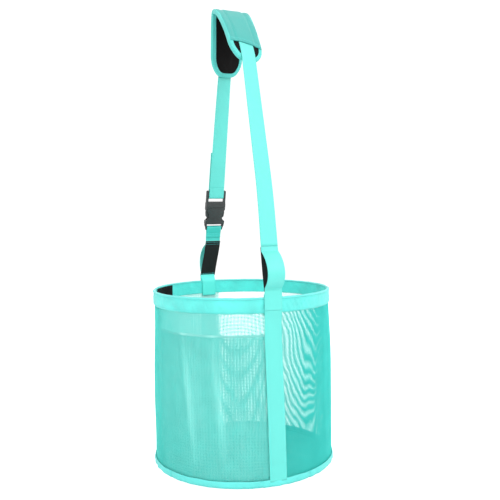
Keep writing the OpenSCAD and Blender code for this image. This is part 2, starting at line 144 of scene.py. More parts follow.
def rings_object(name, rings, closed=False):
    """Solids from rings[solid, ring, point, xyz]. A face joins points j and j+1 of rings i and i+1.
    closed joins the last ring to the first; otherwise both ends get a flat cap. Where the volume, the
    sum of a . (b x c) over the faces, is below 0, every face is turned round."""
    rings = np.asarray(rings, float)
    if rings.ndim == 3:
        rings = rings[None]
    n, k, m = rings.shape[:3]
    i = np.arange(k if closed else k - 1)[:, None]
    j = np.arange(m)[None]
    i2, j2 = (i + 1) % k, (j + 1) % m
    one = np.stack(np.broadcast_arrays(i * m + j, i * m + j2, i2 * m + j2, i2 * m + j), -1).reshape(-1, 4)
    a, b, c, d = (rings[0].reshape(-1, 3)[one[:, q]] for q in range(4))
    volume = np.sum(a * np.cross(b, c)) + np.sum(a * np.cross(c, d))
    if volume < 0:
        one = one[:, ::-1]
    base = (np.arange(n) * k * m)[:, None]
    quads = (base[:, :, None] + one[None]).reshape(-1, 4)
    corners, sizes = [quads.ravel()], [np.full(len(quads), 4)]
    around = np.linalg.norm(np.diff(np.concatenate([rings[0], rings[0][:, :1]], 1), axis=1), axis=-1).mean(0)
    along = np.linalg.norm(np.diff(rings[0], axis=0), axis=-1).mean(1)
    u = np.concatenate([[0], np.cumsum(around)])
    v = np.concatenate([[0], np.cumsum(along), [np.sum(along) + along.mean()]])
    uq = np.stack(np.broadcast_arrays(u[j], u[j + 1], u[j + 1], u[j]), -1)
    vq = np.stack(np.broadcast_arrays(v[i], v[i], v[i + 1], v[i + 1]), -1)
    uq, vq = np.broadcast_arrays(uq, vq)
    uv = np.stack([uq, vq], -1).reshape(-1, 4, 2)
    if volume < 0:
        uv = uv[:, ::-1]
    uv = [np.tile(uv, (n, 1, 1)).reshape(-1, 2)]
    if not closed:
        first, last = np.arange(m)[::-1], (k - 1) * m + np.arange(m)
        if volume < 0:
            first, last = first[::-1], last[::-1]
        for cap in (first, last):
            corners.append((base + cap[None]).ravel())
            sizes.append(np.full(n, m))
            flat = np.stack([u[cap % m], np.full(m, v[cap[0] // m])], -1)
            uv.append(np.tile(flat, (n, 1)))
    return mesh_object(name, rings.reshape(-1, 3), np.concatenate(sizes),
                       np.concatenate(corners), np.concatenate(uv))


# %% [markdown]
# ## Curves and small unevenness
# Cloth is never quite even, so the shapes below add smooth random waves to their formulas. Lines of
# webbing start as a few corner points, and their corners are cut until the line runs smoothly.

# %% Curves and small unevenness
def smooth_noise(x, seed, count=6, low=0.6, high=3.0):
    """A smooth random wave: the mean of count sines whose frequencies and phases come from seed."""
    rng = np.random.default_rng(seed)
    f = rng.uniform(low, high, count)
    p = rng.uniform(0, 2 * np.pi, count)
    return np.sin(np.asarray(x)[..., None] * f + p).mean(-1) * 1.4


def ease(x):
    """Rises smoothly from 0 to 1 as x goes from 0 to 1: 3x^2 - 2x^3."""
    x = np.clip(x, 0, 1)
    return x * x * (3 - 2 * x)


def hump(x, centre, width):
    """A soft bump of height 1: e to the power -((x - centre) / width)^2."""
    return np.exp(-((np.asarray(x) - centre) / width) ** 2)


def webbing_outline(width=WEB_W, thick=WEB_T, points=9):
    """The closed outline (x, n) of a webbing's section, with rounded selvedges."""
    x = np.linspace(-1, 1, points) * (width / 2 - thick * 0.35)
    up = np.stack([x, np.full(points, thick / 2)], -1)
    side = width / 2 - thick * 0.1
    end = np.array([[side, thick * 0.35], [width / 2, 0], [side, -thick * 0.35]])
    down = np.stack([x[::-1], np.full(points, -thick / 2)], -1)
    return np.concatenate([up, end, down, end[::-1] * [-1, 1]])


def resample(path, count):
    """The same line of points, spaced evenly along its length."""
    path = np.asarray(path, float)
    at = np.concatenate([[0], np.cumsum(np.linalg.norm(np.diff(path, axis=0), axis=-1))])
    s = np.linspace(0, at[-1], count)
    return np.stack([np.interp(s, at, path[:, q]) for q in range(path.shape[1])], -1)


def rounded(points, count, turns=3):
    """A smooth line through a row of corner points: cuts every corner in turn, then spaces it evenly."""
    p = np.asarray(points, float)
    for _ in range(turns):
        q = np.empty((2 * len(p) - 2, p.shape[1]))
        q[0::2] = 0.75 * p[:-1] + 0.25 * p[1:]
        q[1::2] = 0.25 * p[:-1] + 0.75 * p[1:]
        p = np.concatenate([p[:1], q, p[-1:]])
    return resample(p, count)


print("webbing outline:", len(webbing_outline()), "points")


# %% Webbing along a leg and stitches
def leg_ribbon(path, foot, ahead, out, outline=None):
    """Webbing whose middle line is drawn as (u, n): u along a leg of the strap and n outwards from it."""
    outline = webbing_outline() if outline is None else outline
    path = np.asarray(path, float)
    yz = foot + path[:, :1] * ahead + path[:, 1:2] * out
    way = unit(np.gradient(yz, axis=0))
    normal = np.stack([-way[:, 1], way[:, 0]], -1)
    if np.sum(normal[0] * out) < 0:
        normal = -normal
    ring = np.zeros((len(path), len(outline), 3))
    ring[..., 0] = outline[None, :, 0]
    ring[..., 1:] = yz[:, None] + normal[:, None] * outline[None, :, 1:2]
    return ring


def stitches(line, out, length=0.0023, thick=0.00042, pitch=STITCH):
    """Thread showing on top of cloth: short rods with rounded ends, one for each pitch along a line.
    out is the way out of the cloth, for each point of the line or for all."""
    line = np.asarray(line, float)
    out = np.broadcast_to(np.asarray(out, float), line.shape)
    total = np.linalg.norm(np.diff(line, axis=0), axis=-1).sum()
    tiny = 1e-6  # keeps the outward way from adding to the line's length
    both = resample(np.concatenate([line, out * tiny], 1), max(3, int(total / pitch)))
    p, o = both[:, :3], unit(both[:, 3:])
    way = unit(np.gradient(p, axis=0))
    side = unit(np.cross(way, o))
    turn = np.arange(6) * np.pi / 3
    share = np.array([0.35, 1, 1, 0.35])
    along = np.array([-0.5, -0.3, 0.3, 0.5]) * length
    lift = np.array([-0.3, 0.25, 0.25, -0.3]) * thick
    disc = (np.cos(turn)[:, None] * side[:, None] + np.sin(turn)[:, None] * o[:, None]) * thick / 2
    return (p[:, None, None] + way[:, None, None] * along[None, :, None, None]
            + o[:, None, None] * lift[None, :, None, None] + disc[:, None] * share[None, :, None, None])


print("one stitch in", STITCH * 1000, "mm")

# %% [markdown]
# ## Materials
# Webbing and tape are ribbed along their length, bands and covers are plainly woven, and the mesh
# threads, the wire and the buckle are smooth. A picture of cloth could be laid on, but it blurs close
# up and repeats. Here node groups draw the weave instead: two of them from the UV map, one for
# ribs and picks and one for a plain weave, and a third gives plastic and thread their small unevenness
# from the object's own coordinates. Each gives a colour, a roughness and a height for the bump.

# %% Small helpers for nodes
def group(name, inputs, outputs):
    """A new shader node group with float or colour sockets."""
    tree = bpy.data.node_groups.new(name, "ShaderNodeTree")
    kinds = {"f": "NodeSocketFloat", "c": "NodeSocketColor"}
    for label, kind, value in inputs:
        s = tree.interface.new_socket(label, in_out="INPUT", socket_type=kinds[kind])
        s.default_value = value
    for label, kind in outputs:
        tree.interface.new_socket(label, in_out="OUTPUT", socket_type=kinds[kind])
    return tree, tree.nodes.new("NodeGroupInput"), tree.nodes.new("NodeGroupOutput")


def put(tree, socket, value):
    """Sets a socket to a number or links it to another socket."""
    if isinstance(value, bpy.types.NodeSocket):
        tree.links.new(value, socket)
    else:
        socket.default_value = value


def math_node(tree, op, *values):
    """One Math node; returns its output."""
    node = tree.nodes.new("ShaderNodeMath")
    node.operation = op
    for s, v in zip(node.inputs, values):
        put(tree, s, v)
    return node.outputs[0]


def noise(tree, vector, scale, detail=2.0):
    """Noise from 0 to 1 at a place."""
    node = tree.nodes.new("ShaderNodeTexNoise")
    tree.links.new(vector, node.inputs["Vector"])
    node.inputs["Scale"].default_value = scale
    node.inputs["Detail"].default_value = detail
    return node.outputs[0]


def shaded(tree, colour, level):
    """A colour times a level, the same for red, green and blue."""
    grey = tree.nodes.new("ShaderNodeCombineColor")
    for q in range(3):
        tree.links.new(level, grey.inputs[q])
    node = tree.nodes.new("ShaderNodeMix")
    node.data_type, node.blend_type = "RGBA", "MULTIPLY"
    put(tree, node.inputs["Factor"], 1.0)
    put(tree, node.inputs["A"], colour)
    put(tree, node.inputs["B"], grey.outputs[0])
    return node.outputs["Result"]


# %% Weave and grain groups
OUTPUTS = [("Colour", "c"), ("Roughness", "f"), ("Height", "f")]


def weave_group(name, ribbed):
    """Height of a weave: |sin(pi u / w)| across times |sin(pi v / w)| along, where every second
    thread is shifted by half a step. Ribbed cloth has its ribs along and fine picks across."""
    tree, gin, gout = group(
        name, [("Colour", "c", (1, 1, 1, 1)), ("Across", "f", 0.001), ("Along", "f", 0.001),
               ("Contrast", "f", 0.25), ("Stain_and_shade", "f", 0.1)], OUTPUTS)
    uv = tree.nodes.new("ShaderNodeUVMap")
    uv.uv_map = "UVMap"
    split = tree.nodes.new("ShaderNodeSeparateXYZ")
    tree.links.new(uv.outputs[0], split.inputs[0])
    calc = partial(math_node, tree)
    a = calc("DIVIDE", split.outputs[0], gin.outputs["Across"])
    b = calc("DIVIDE", split.outputs[1], gin.outputs["Along"])
    odd = calc("MODULO", calc("FLOOR", a), 2.0)
    b2 = calc("ADD", b, calc("MULTIPLY", odd, 0.5))
    half_turns = [calc("MULTIPLY", x, math.pi) for x in (a, b2)]
    across, along = [calc("ABSOLUTE", calc("SINE", x)) for x in half_turns]
    if ribbed:
        h = calc("ADD", calc("MULTIPLY", calc("POWER", across, 0.6), 0.65), calc("MULTIPLY", along, 0.35))
    else:
        h = calc("MULTIPLY", calc("POWER", across, 0.5), calc("POWER", along, 0.5))
    big = noise(tree, uv.outputs[0], 22.0, 3.0)
    fine = noise(tree, uv.outputs[0], 900.0, 2.0)
    height = calc("ADD", h, calc("MULTIPLY", fine, 0.35))
    dark = calc("MULTIPLY", calc("SUBTRACT", 1.0, h), gin.outputs["Contrast"])
    # blotches from the big noise: random stain, and where the share is large, as on the band, painted shade
    # of creases
    stain_and_shade = calc("MULTIPLY", calc("SUBTRACT", big, 0.5), gin.outputs["Stain_and_shade"])
    level = calc("SUBTRACT", calc("SUBTRACT", 1.0, dark), stain_and_shade)
    put(tree, gout.inputs["Colour"], shaded(tree, gin.outputs["Colour"], level))
    put(tree, gout.inputs["Roughness"], calc("ADD", 0.42, calc("MULTIPLY", fine, 0.22)))
    put(tree, gout.inputs["Height"], height)
    return tree


def grain_group():
    """Unevenness of plastic, wire and thread: two sizes of noise in the object's own coordinates."""
    tree, gin, gout = group(
        "Grain", [("Colour", "c", (1, 1, 1, 1)), ("Scale", "f", 800.0), ("Amount", "f", 0.1),
                  ("Rough", "f", 0.4)], OUTPUTS)
    at = tree.nodes.new("ShaderNodeTexCoord").outputs["Object"]
    fine = tree.nodes.new("ShaderNodeTexNoise")
    tree.links.new(at, fine.inputs["Vector"])
    tree.links.new(gin.outputs["Scale"], fine.inputs["Scale"])
    big = noise(tree, at, 35.0, 3.0)
    calc = partial(math_node, tree)
    both = calc("ADD", fine.outputs[0], big)
    spread = calc("MULTIPLY", calc("SUBTRACT", both, 1.0), gin.outputs["Amount"])
    level = calc("SUBTRACT", 1.0, spread)
    put(tree, gout.inputs["Colour"], shaded(tree, gin.outputs["Colour"], level))
    patchy = calc("MULTIPLY", calc("SUBTRACT", big, 0.5), 0.25)
    put(tree, gout.inputs["Roughness"], calc("ADD", gin.outputs["Rough"], patchy))
    put(tree, gout.inputs["Height"], fine.outputs[0])
    return tree


RIBBED, PLAIN, GRAIN = weave_group("Ribbed weave", True), weave_group("Plain weave", False), grain_group()
print("node groups:", [tree.name for tree in (RIBBED, PLAIN, GRAIN)])

# %% [markdown]
# ## The finishes
# The whole bag is one turquoise, and every finish is a share of one colour for red, green and blue.
# Most cloths take the dye differently; the inner band, the rear anchor's webbing and the left half's
# mesh thread are lighter copies of their cloth as painted light, and the webbing under the buckle
# is a darker copy as painted shade. Finishes of one kind share their weave, bump and shine.

# %% The finishes
def surface(name, colour, tree, bump, distance, sheen=0.0, specular=0.5, **values):
    """A material whose colour, roughness and bump come from one of the groups."""
    mat = bpy.data.materials.new(name)
    mat.use_nodes = True
    nodes, links = mat.node_tree.nodes, mat.node_tree.links
    bsdf = nodes["Principled BSDF"]
    g = nodes.new("ShaderNodeGroup")
    g.node_tree = tree
    g.inputs["Colour"].default_value = (*colour, 1)
    for key, value in values.items():
        g.inputs[key].default_value = value
    b = nodes.new("ShaderNodeBump")
    b.inputs["Strength"].default_value = bump
    b.inputs["Distance"].default_value = distance
    links.new(g.outputs["Height"], b.inputs["Height"])
    links.new(b.outputs[0], bsdf.inputs["Normal"])
    links.new(g.outputs["Colour"], bsdf.inputs["Base Color"])
    links.new(g.outputs["Roughness"], bsdf.inputs["Roughness"])
    bsdf.inputs["Specular IOR Level"].default_value = specular
    bsdf.inputs["Sheen Weight"].default_value = sheen
    bsdf.inputs["Sheen Roughness"].default_value = 0.5
    mat.diffuse_color = (*colour, 1)
    return mat


TEAL = np.array([0.062, 0.70, 0.655])
WEBBING = dict(tree=RIBBED, bump=0.6, distance=0.0003, sheen=0.12, specular=0.9, Across=0.0014, Along=0.0011)
TAPE = dict(tree=RIBBED, bump=0.6, distance=0.0003, sheen=0.15, Across=0.0011, Along=0.0009)
# the band's strong blotches are painted shade of its creases as well as stain
BAND = dict(tree=PLAIN, bump=0.7, distance=0.0003, sheen=0.12, specular=0.75,
            Across=0.0009, Along=0.0009, Stain_and_shade=0.6)
COVER = dict(tree=PLAIN, bump=0.6, distance=0.0002, sheen=0.12, Across=0.0008, Along=0.0008)
BASE = dict(tree=PLAIN, bump=0.5, distance=0.0002, sheen=0.1, specular=0.4, Across=0.0009, Along=0.0009)
THREAD = dict(tree=GRAIN, bump=0.2, distance=0.0001, specular=0.35, Scale=1500.0, Amount=0.2, Rough=0.6)
BLACK = dict(tree=PLAIN, bump=0.8, distance=0.0003, specular=0.2, Across=0.0009, Along=0.0009, Contrast=0.4)
FOAM = dict(tree=GRAIN, bump=0.6, distance=0.0003, specular=0.1, Scale=1100.0, Amount=0.5, Rough=0.75)
PILE = dict(tree=GRAIN, bump=1.0, distance=0.0006, specular=0.15, Scale=2600.0, Amount=0.8, Rough=0.9)
PLASTIC = dict(tree=GRAIN, bump=0.35, distance=0.00006, Scale=4200.0, Amount=0.3, Rough=0.42)
HOOP = dict(tree=GRAIN, bump=0.2, distance=0.00005, Scale=2500.0, Amount=0.1, Rough=0.4)
WIRE = dict(tree=GRAIN, bump=0.2, distance=0.00003, Scale=3500.0, Amount=0.15, Rough=0.4)
SEWING = dict(tree=GRAIN, bump=0.3, distance=0.0001, Scale=6000.0, Amount=0.2, Rough=0.5)
FINISHES = {
    "webbing": ("webbing", TEAL * [1.40, 0.93, 0.89], WEBBING),
    # painted shade: a darker copy of the webbing for the tab under the buckle, where the buckle's shadow
    # falls
    "painted shade webbing": ("painted shade webbing", TEAL * [0.60, 0.84, 0.80], WEBBING | dict(sheen=0.10, specular=0.7)),
    # painted light: a lighter copy of the webbing for the rear anchor, whose tab faces into the shaded inside
    # of the bag
    "painted light webbing": ("painted light webbing", TEAL * [1.40, 1.20, 1.14], WEBBING),
    "tape": ("binding tape", TEAL * [1.6, 1.0, 1.0], TAPE | dict(specular=0.7, Stain_and_shade=0.3)),
    "pad tape": ("pad tape", TEAL * [1.25, 0.86, 0.84], TAPE | dict(bump=0.7, distance=0.0004, Stain_and_shade=0.4)),
    # painted light: a lighter copy of the band cloth for the inner layer, which lies in the bag's own shade
    "painted light inner band": ("painted light inner band cloth", TEAL * [1.5, 1.28, 1.26], BAND),
    "band": ("band cloth", TEAL * [1.5, 1.12, 1.10], BAND),
    "cover": ("pad cover cloth", TEAL * [0.48, 0.56, 0.545], COVER),
    "base": ("base cloth", TEAL * [0.65, 0.80, 0.76], BASE),
    "mesh": ("mesh thread", TEAL * [0.70, 0.86, 0.84], THREAD | dict(Rough=0.55)),
    # painted light: a paler copy of the same mesh thread for the left half of the wall, where more light
    # falls
    "painted light mesh": ("painted light mesh thread", TEAL * [1.25, 0.92, 0.89], THREAD | dict(specular=0.4, Rough=0.55)),
    "pocket mesh": ("pocket thread", (0.55, 0.92, 0.88), THREAD),
    "lining mesh": ("lining thread", (0.56, 0.94, 0.90), THREAD),
    "hem": ("hem tape", (0.80, 0.98, 0.96), TAPE | dict(bump=0.3, distance=0.0002)),
    "black": ("black cloth", (0.012, 0.013, 0.013), BLACK),
    "foam cloth": ("foam cloth", (0.005, 0.0045, 0.0045), FOAM),
    "loop": ("loop patch", (0.010, 0.011, 0.011), PILE),
    "plastic": ("buckle plastic", (0.026, 0.029, 0.030), PLASTIC),
    "hoop": ("hoop plastic", (0.62, 0.66, 0.66), HOOP),
    "wire": ("coated wire", TEAL * [0.8, 0.8, 0.8], WIRE),
    "thread": ("sewing thread", TEAL * [1.9, 1.1, 1.15], SEWING),
}
M = {key: surface(label, colour, **kind) for key, (label, colour, kind) in FINISHES.items()}
print("materials:", len(M))


def dress(obj, material, body, nodes=()):
    """Gives a piece its material, lets it ride on a body and hides its solids."""
    obj.data.materials.clear()
    obj.data.materials.append(M[material])
    if body:
        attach(obj, body)
    if nodes:
        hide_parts(*nodes)
    return obj


def folds(obj):
    """Gives the piece its own copy of its mesh."""
    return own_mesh(obj)


# %% [markdown]
# ## Mesh cloth
# The wall is open mesh. It is built as real threads: upright ones and level ones, 1.7 mm apart and
# about 0.4 mm wide, a little deeper in the right half. The inner layers are a closer, paler weave of
# flat threads, so where two layers overlap their threads fall in and out of step. A hanging bag is
# never quite round: one function says how far it departs from a circle, and every piece of the bag
# follows it.

# %% Mesh cloth
PITCH = 0.0017  # from one thread to the next


def turn_from(angle, degrees):
    """How far an angle lies from a direction given in degrees, between -pi and pi."""
    return (np.asarray(angle) - math.radians(degrees) + np.pi) % (2 * np.pi) - np.pi


def out_of_round(angle, z):
    """How far the hanging bag departs from a circle: pressed in at its left rim, slack at its lower right.
    Each is a soft hump round the bag times a smooth rise or fall with height."""
    h = (np.asarray(z) - BASE_Z) / (RIM_Z - BASE_Z)
    pressed = -0.0008 - 0.0040 * ease((h - 0.5) / 0.4) - 0.0020 * ease((0.4 - h) / 0.3)
    left = hump(turn_from(angle, 158), 0, 0.75) * pressed
    right = hump(turn_from(angle, -22), 0, 0.85) * 0.0052 * ease((1.02 - h) / 0.45)
    return left + right


def round_bag(angle, r, z):
    """A place round the bag's axis: (r cos angle, axis + r sin angle, z), with r out of round."""
    angle, r, z = np.broadcast_arrays(angle, r, z)
    r = r * (1 + out_of_round(angle, z) / BAND_R)
    return np.stack([r * np.cos(angle), AXIS_Y + r * np.sin(angle), z], -1)


def wall_radius(angle, z, seed=3):
    """How far the cloth hangs from the axis: soft waves that grow between the band and the base."""
    h = np.clip((z - BASE_Z) / (BAND_LOW - BASE_Z), 0, 1)
    free = np.sin(np.pi * h) ** 0.7
    waves = (0.0009 * smooth_noise(angle * 4 + 0.8 * h, seed)
             + 0.0006 * smooth_noise(angle * 11 + 2 * h, seed + 1))
    return -0.0009 * free + waves * free


def lattice(name, radius, a0, a1, z0, z1, seed, pitch, half, depth, slim=0.0):
    """Threads between two angles and two heights, one for each pitch. Every thread is a four-sided rod,
    half wide to each side and depth deep, and closed at both ends. Every fourth upright one may be slimmer
    by a share, which draws fine stripes. In the front right the cloth hangs slack: on their way down the
    upright threads lean, and the level ones rise in a soft bow."""
    up_n = int(round((a1 - a0) * radius / pitch))
    level_n = int(round((z1 - z0) / pitch))

    def place(a, z, d):
        loose = ease((a + 1.75) / 0.4) * ease((1.2 - a) / 0.4)
        fall = np.clip((z1 - z) / (z1 - z0), 0, 1)
        front = loose * ease((0.3 - a) / 0.5)
        drift = ((0.0003 + 0.0007 * loose) * smooth_noise(z * 22 + a * 1.5, seed + 5)
                 + 0.0003 * smooth_noise(a * 9, seed + 6))
        drift = drift - front * (0.0190 * fall ** 1.2 + 0.0060 * hump(fall, 0.62, 0.16) * hump(a, -0.75, 0.4))
        lift = (0.0008 + 0.0010 * loose) * smooth_noise(a * 3.1, seed + 7) * np.sin(np.pi * fall)
        lift = lift + front * 0.011 * np.sin(np.pi * fall) * hump(a, -0.8, 0.45)
        return round_bag(a + drift / radius, radius + wall_radius(a, z) + d, z + lift)

    corners = np.array([[-half, -depth], [half, -depth], [half, depth], [-half, depth]])
    a = np.linspace(a0, a1, up_n + 1)[:, None, None]
    z = np.linspace(z0, z1, 16)[None, :, None]
    width = (1 - slim * (np.arange(up_n + 1) % 4 == 0))[:, None, None]
    upright = place(a + width * corners[:, 0] / radius, z, corners[:, 1] + 0.4 * depth)
    k = max(6, int((a1 - a0) * radius / 0.009))
    a = np.linspace(a0, a1, k)[None, :, None]
    z = np.linspace(z0, z1, level_n + 1)[:, None, None]
    level = place(a, z + corners[:, 0], corners[:, 1] - 0.4 * depth)
    one = rings_object(name, upright)
    two = rings_object(name + "_level", level)
    return joined([one, two])


def joined(objects):
    """Several meshes as one object, which keeps the first one's name."""
    bm = bmesh.new()
    for o in objects:
        bm.from_mesh(o.data)
    bm.to_mesh(objects[0].data)
    bm.free()
    for o in objects[1:]:
        bpy.data.objects.remove(o)
    return objects[0]


quarter = np.pi / 2
WALL_TOP = BAND_LOW + 0.006
strip_half = math.asin(WEB_W / 2 / BAND_R)
for name, a0, a1, seed, half, depth in (("wall_mesh_left", quarter, 3 * quarter, 11, 0.00023, 0.00019),
                                        ("wall_mesh_right", -quarter, quarter, 23, 0.00019, 0.00030)):
    wall = lattice(name + "_threads", MESH_R - 0.0006, a0, a1, BASE_Z + 0.0015, WALL_TOP, seed,
                   PITCH, half, depth)
    # the left half's threads take the paler copy of the thread: painted light
    dress(wall, "painted light mesh" if a0 > 0 else "mesh", "bag", [name])
    folds(wall)
    print(name, len(wall.data.polygons), "faces")

reach = math.radians(82)  # how far each inner layer goes round
inner_foot = BASE_Z + 0.008
for name, node, a0, top, seed, finish in (
        ("inner_pocket_threads", "inner_pocket", -quarter - reach, HEM_Z - 0.002, 11, "pocket mesh"),
        ("rear_lining_threads", "rear_mesh_lining", quarter - strip_half, BAND_LOW + 0.002, 51,
         "lining mesh")):
    layer = lattice(name, LINING_R, a0, a0 + reach, inner_foot, top, seed,
                    pitch=0.75 * PITCH, half=0.00043, depth=0.00005, slim=0.7)
    dress(layer, finish, "bag", [node])
    folds(layer)
    print(name, len(layer.data.polygons), "faces")

# %% [markdown]
# ## Rim, hems and base
# Each of these runs round the bag: a closed outline (radius, height) is drawn at every angle, so it
# can swell, ripple and crease on its way round.

# %% Rim, hems and base
def round_piece(name, outline, a0=0.0, a1=2 * np.pi, step=0.0025):
    """outline(angle) gives radii and heights, one row for each angle; the rows are joined round the bag."""
    full = abs(a1 - a0 - 2 * np.pi) < 1e-6
    n = max(4, int((a1 - a0) * BAND_R / step))
    angle = np.linspace(a0, a1, n, endpoint=not full)[:, None]
    r, z = outline(angle)
    return rings_object(name, round_bag(angle, r, z), closed=full)


def columns(angle, values):
    """Values side by side, a column each; a plain number is the same at every angle."""
    return np.concatenate([value + 0 * angle for value in values], 1)


def shell(r_out, r_in, z):
    """A closed outline from an outer and an inner line of radii over the same heights."""
    z = np.broadcast_to(z, r_out.shape)
    return np.concatenate([r_out, r_in[:, ::-1]], 1), np.concatenate([z, z[:, ::-1]], 1)


def outer_band(angle):
    """Cloth stretched over the flat hoop: it swells between its edges and tucks in at its hem."""
    z = np.linspace(BAND_TOP + 0.0006, BAND_LOW, 17)[None]
    h = (BAND_TOP - z) / (BAND_TOP - BAND_LOW)
    swell = 0.0008 * np.sin(np.pi * np.clip(h, 0, 1)) ** 0.6
    pucker = hump(turn_from(angle, -90), 0.30, 0.20)
    cloth = (0.0006 * smooth_noise(angle * 13 + h * 2.6, 61)
             + 0.0009 * pucker * smooth_noise(angle * 38 + h * 6, 62)
             + 0.0005 * smooth_noise(angle * 55 - h * 4, 63))
    hem = 0.0005 * hump(h, 0.86, 0.035) - 0.0008 * ease((h - 0.9) / 0.1)
    r = BAND_R + swell + cloth * np.sin(np.pi * np.clip(h, 0, 1)) + hem
    return shell(r, r - 0.0008 - swell * 0.5, z)


def inner_band(angle):
    """The inner layer, with fine level ripples on the rear left."""
    z = np.linspace(BAND_TOP + 0.0006, BAND_LOW, 25)[None]
    h = (BAND_TOP - z) / (BAND_TOP - BAND_LOW)
    wave = np.sin(h * 44 + 1.5 * smooth_noise(angle * 5, 71))
    ripple = 0.00028 * hump(turn_from(angle, 128), 0, 0.5) * wave
    cloth = 0.0006 * smooth_noise(angle * 18 + h * 2.3, 72) * np.sin(np.pi * np.clip(h, 0, 1))
    r = INNER_R - 0.0002 + (ripple + cloth)
    return shell(r + 0.0007, r, z)


def edge_tape(angle):
    """Tape folded over the top of the band: a narrow round-topped fold."""
    t = np.linspace(0, 2 * np.pi, 15)[:-1][None]
    mid = (BAND_R + INNER_R) / 2 + 0.0004
    lump = 1 + 0.05 * smooth_noise(angle * 60, 81)
    r = mid + 0.0029 * np.cos(t) * lump
    z = BAND_TOP - 0.0002 + 0.0021 * np.sin(t) * lump + 0.0002 * smooth_noise(angle * 13, 82)
    return r, z


def binding(angle):
    """Tape folded round the seam between wall and base. Its lower edge is lumpy and it creases in places."""
    crease = sum(hump(turn_from(angle, c), 0, 0.012)
                 for c in (-160, -100, -67, 20, 75, 140))
    lump = 0.0008 * smooth_noise(angle * 16, 91) + 0.0005 * smooth_noise(angle * 41, 92)
    r_out = MESH_R + 0.0011
    top = BIND_TOP - 0.0003 + 0.0005 * smooth_noise(angle * 10, 93)
    foot = BASE_Z + 0.0001
    r = columns(angle, [r_out - 0.0004, r_out + 0.0001, r_out + 0.0006 + lump * 0.4, r_out + 0.0010 + lump,
                        r_out + 0.0008 + lump, r_out - 0.0012 + lump, r_out - 0.0038, r_out - 0.0092,
                        r_out - 0.0092, r_out - 0.0035, r_out - 0.0012, r_out - 0.0011])
    z = columns(angle, [top, top - 0.0004, top - 0.0030, top - 0.0065, foot + 0.0030, foot + 0.0007,
                        foot, foot, foot + 0.0010, foot + 0.0011, foot + 0.0026, top - 0.0004])
    r[:, 1:6] -= 0.0020 * crease
    return r, z


def hem_tape(angle):
    """A flat tape along the top of the pocket."""
    z = np.linspace(HEM_Z, HEM_Z - 0.004, 5)[None]
    r = LINING_R + 0.0001 + wall_radius(angle, z) + 0 * z
    z = z + 0.0005 * smooth_noise(angle * 5, 95)
    return shell(r + 0.0004, r, z)


WIRE_R = 0.0015


def patch_outline(angle):
    """A strip of loop pile on the inner band."""
    z = np.linspace(BAND_TOP - 0.001, BAND_LOW + 0.001, 9)[None]
    r = INNER_R - 0.0004 + 0.0002 * smooth_noise(angle * 60 + z * 900, 97)
    return shell(r, r - 0.0012 + 0 * z, z)


def flat_hoop(angle):
    """The flat plastic hoop between the two layers of the band."""
    z = np.linspace(BAND_TOP, BAND_LOW + 0.0063, 5)[None]
    return shell(MESH_R - 0.0002 + 0 * angle * z, MESH_R - 0.0016 + 0 * angle * z, z)


def wire_hoop(angle):
    """The wire hoop that lies in the corner over the base: a circle carried round the bag."""
    t = np.linspace(0, -2 * np.pi, 13)[:-1][None]
    return (MESH_R - 0.0030 + WIRE_R * np.cos(t) + 0 * angle,
            BASE_Z + 0.0042 + WIRE_R * np.sin(t) + 0 * angle)


PATCH_FROM, PATCH_L = math.radians(90 + 37), 0.075  # the pile starts 37 degrees past the rear
whole = {}
along_hem = dict(a0=-quarter - reach, a1=-quarter - 0.06)
along_patch = dict(a0=PATCH_FROM, a1=PATCH_FROM + PATCH_L / INNER_R, step=0.002)
for name, outline, span, finish, body, slot, node in (
        ("rim_band_outer_cloth", outer_band, whole, "band", "bag", "band", "rim_band_outer"),
        # the inner layer's cloth is the lighter copy: painted light
        ("rim_band_inner_cloth", inner_band, whole, "painted light inner band", "bag", "band", "rim_band_inner"),
        ("rim_edge_fold", edge_tape, whole, "tape", "bag", "edging", "rim_edge_tape"),
        ("base_binding_tape", binding, whole, "tape", "base", "edging", "base_binding"),
        ("pocket_hem_tape", hem_tape, along_hem, "hem", "bag", "edging", "pocket_hem"),
        ("rim_closure_pile", patch_outline, along_patch, "loop", "bag", "black_cloth", "rim_closure_patch"),
        ("rim_hoop_strip", flat_hoop, whole, "hoop", "bag", "hoop", "rim_hoop"),
        ("base_hoop_wire", wire_hoop, whole, "wire", "base", "wire", "base_hoop")):
    piece = dress(round_piece(name, outline, **span), finish, body, [node])
    if outline is hem_tape:
        folds(piece)


def base_cloth():
    """A round of cloth with soft creases: some grow outwards as (r / R)^3 and others fade out towards
    the edge as 1 - (r / R)^4."""
    rim = MESH_R - 0.0018
    angle = np.linspace(0, 2 * np.pi, 180, endpoint=False)[None]
    r = np.concatenate([np.linspace(0.0006, rim, 34), [rim + 0.0004], np.linspace(rim, 0.0006, 34)])[:, None]
    share = r / rim
    middle = smooth_noise(np.cos(angle) * share * 9 + np.sin(angle) * share * 5, 102)
    crease = (0.0009 * smooth_noise(angle * 7 + share * 2, 101) * share ** 3
              + 0.0006 * middle * (1 - share ** 4))
    level = BASE_Z + 0.0021 + 0.0004 + crease
    side = np.concatenate([np.full(34, 1.0), [0.0], np.full(34, -1.0)])[:, None]
    rings = round_bag(angle, r, level + 0.00055 * side * np.ones_like(angle))
    return rings_object("base_panel_cloth", rings)


panel = dress(base_cloth(), "base", "base", ["base_panel"])
print("round pieces made")

# %% [markdown]
# ## Webbing down the wall and over the rim
# The webbing lies on the wall and steps out over the band. Above the band it bends between the bag
# and the strap. An inner tab goes down inside the rim, and both layers meet over it.

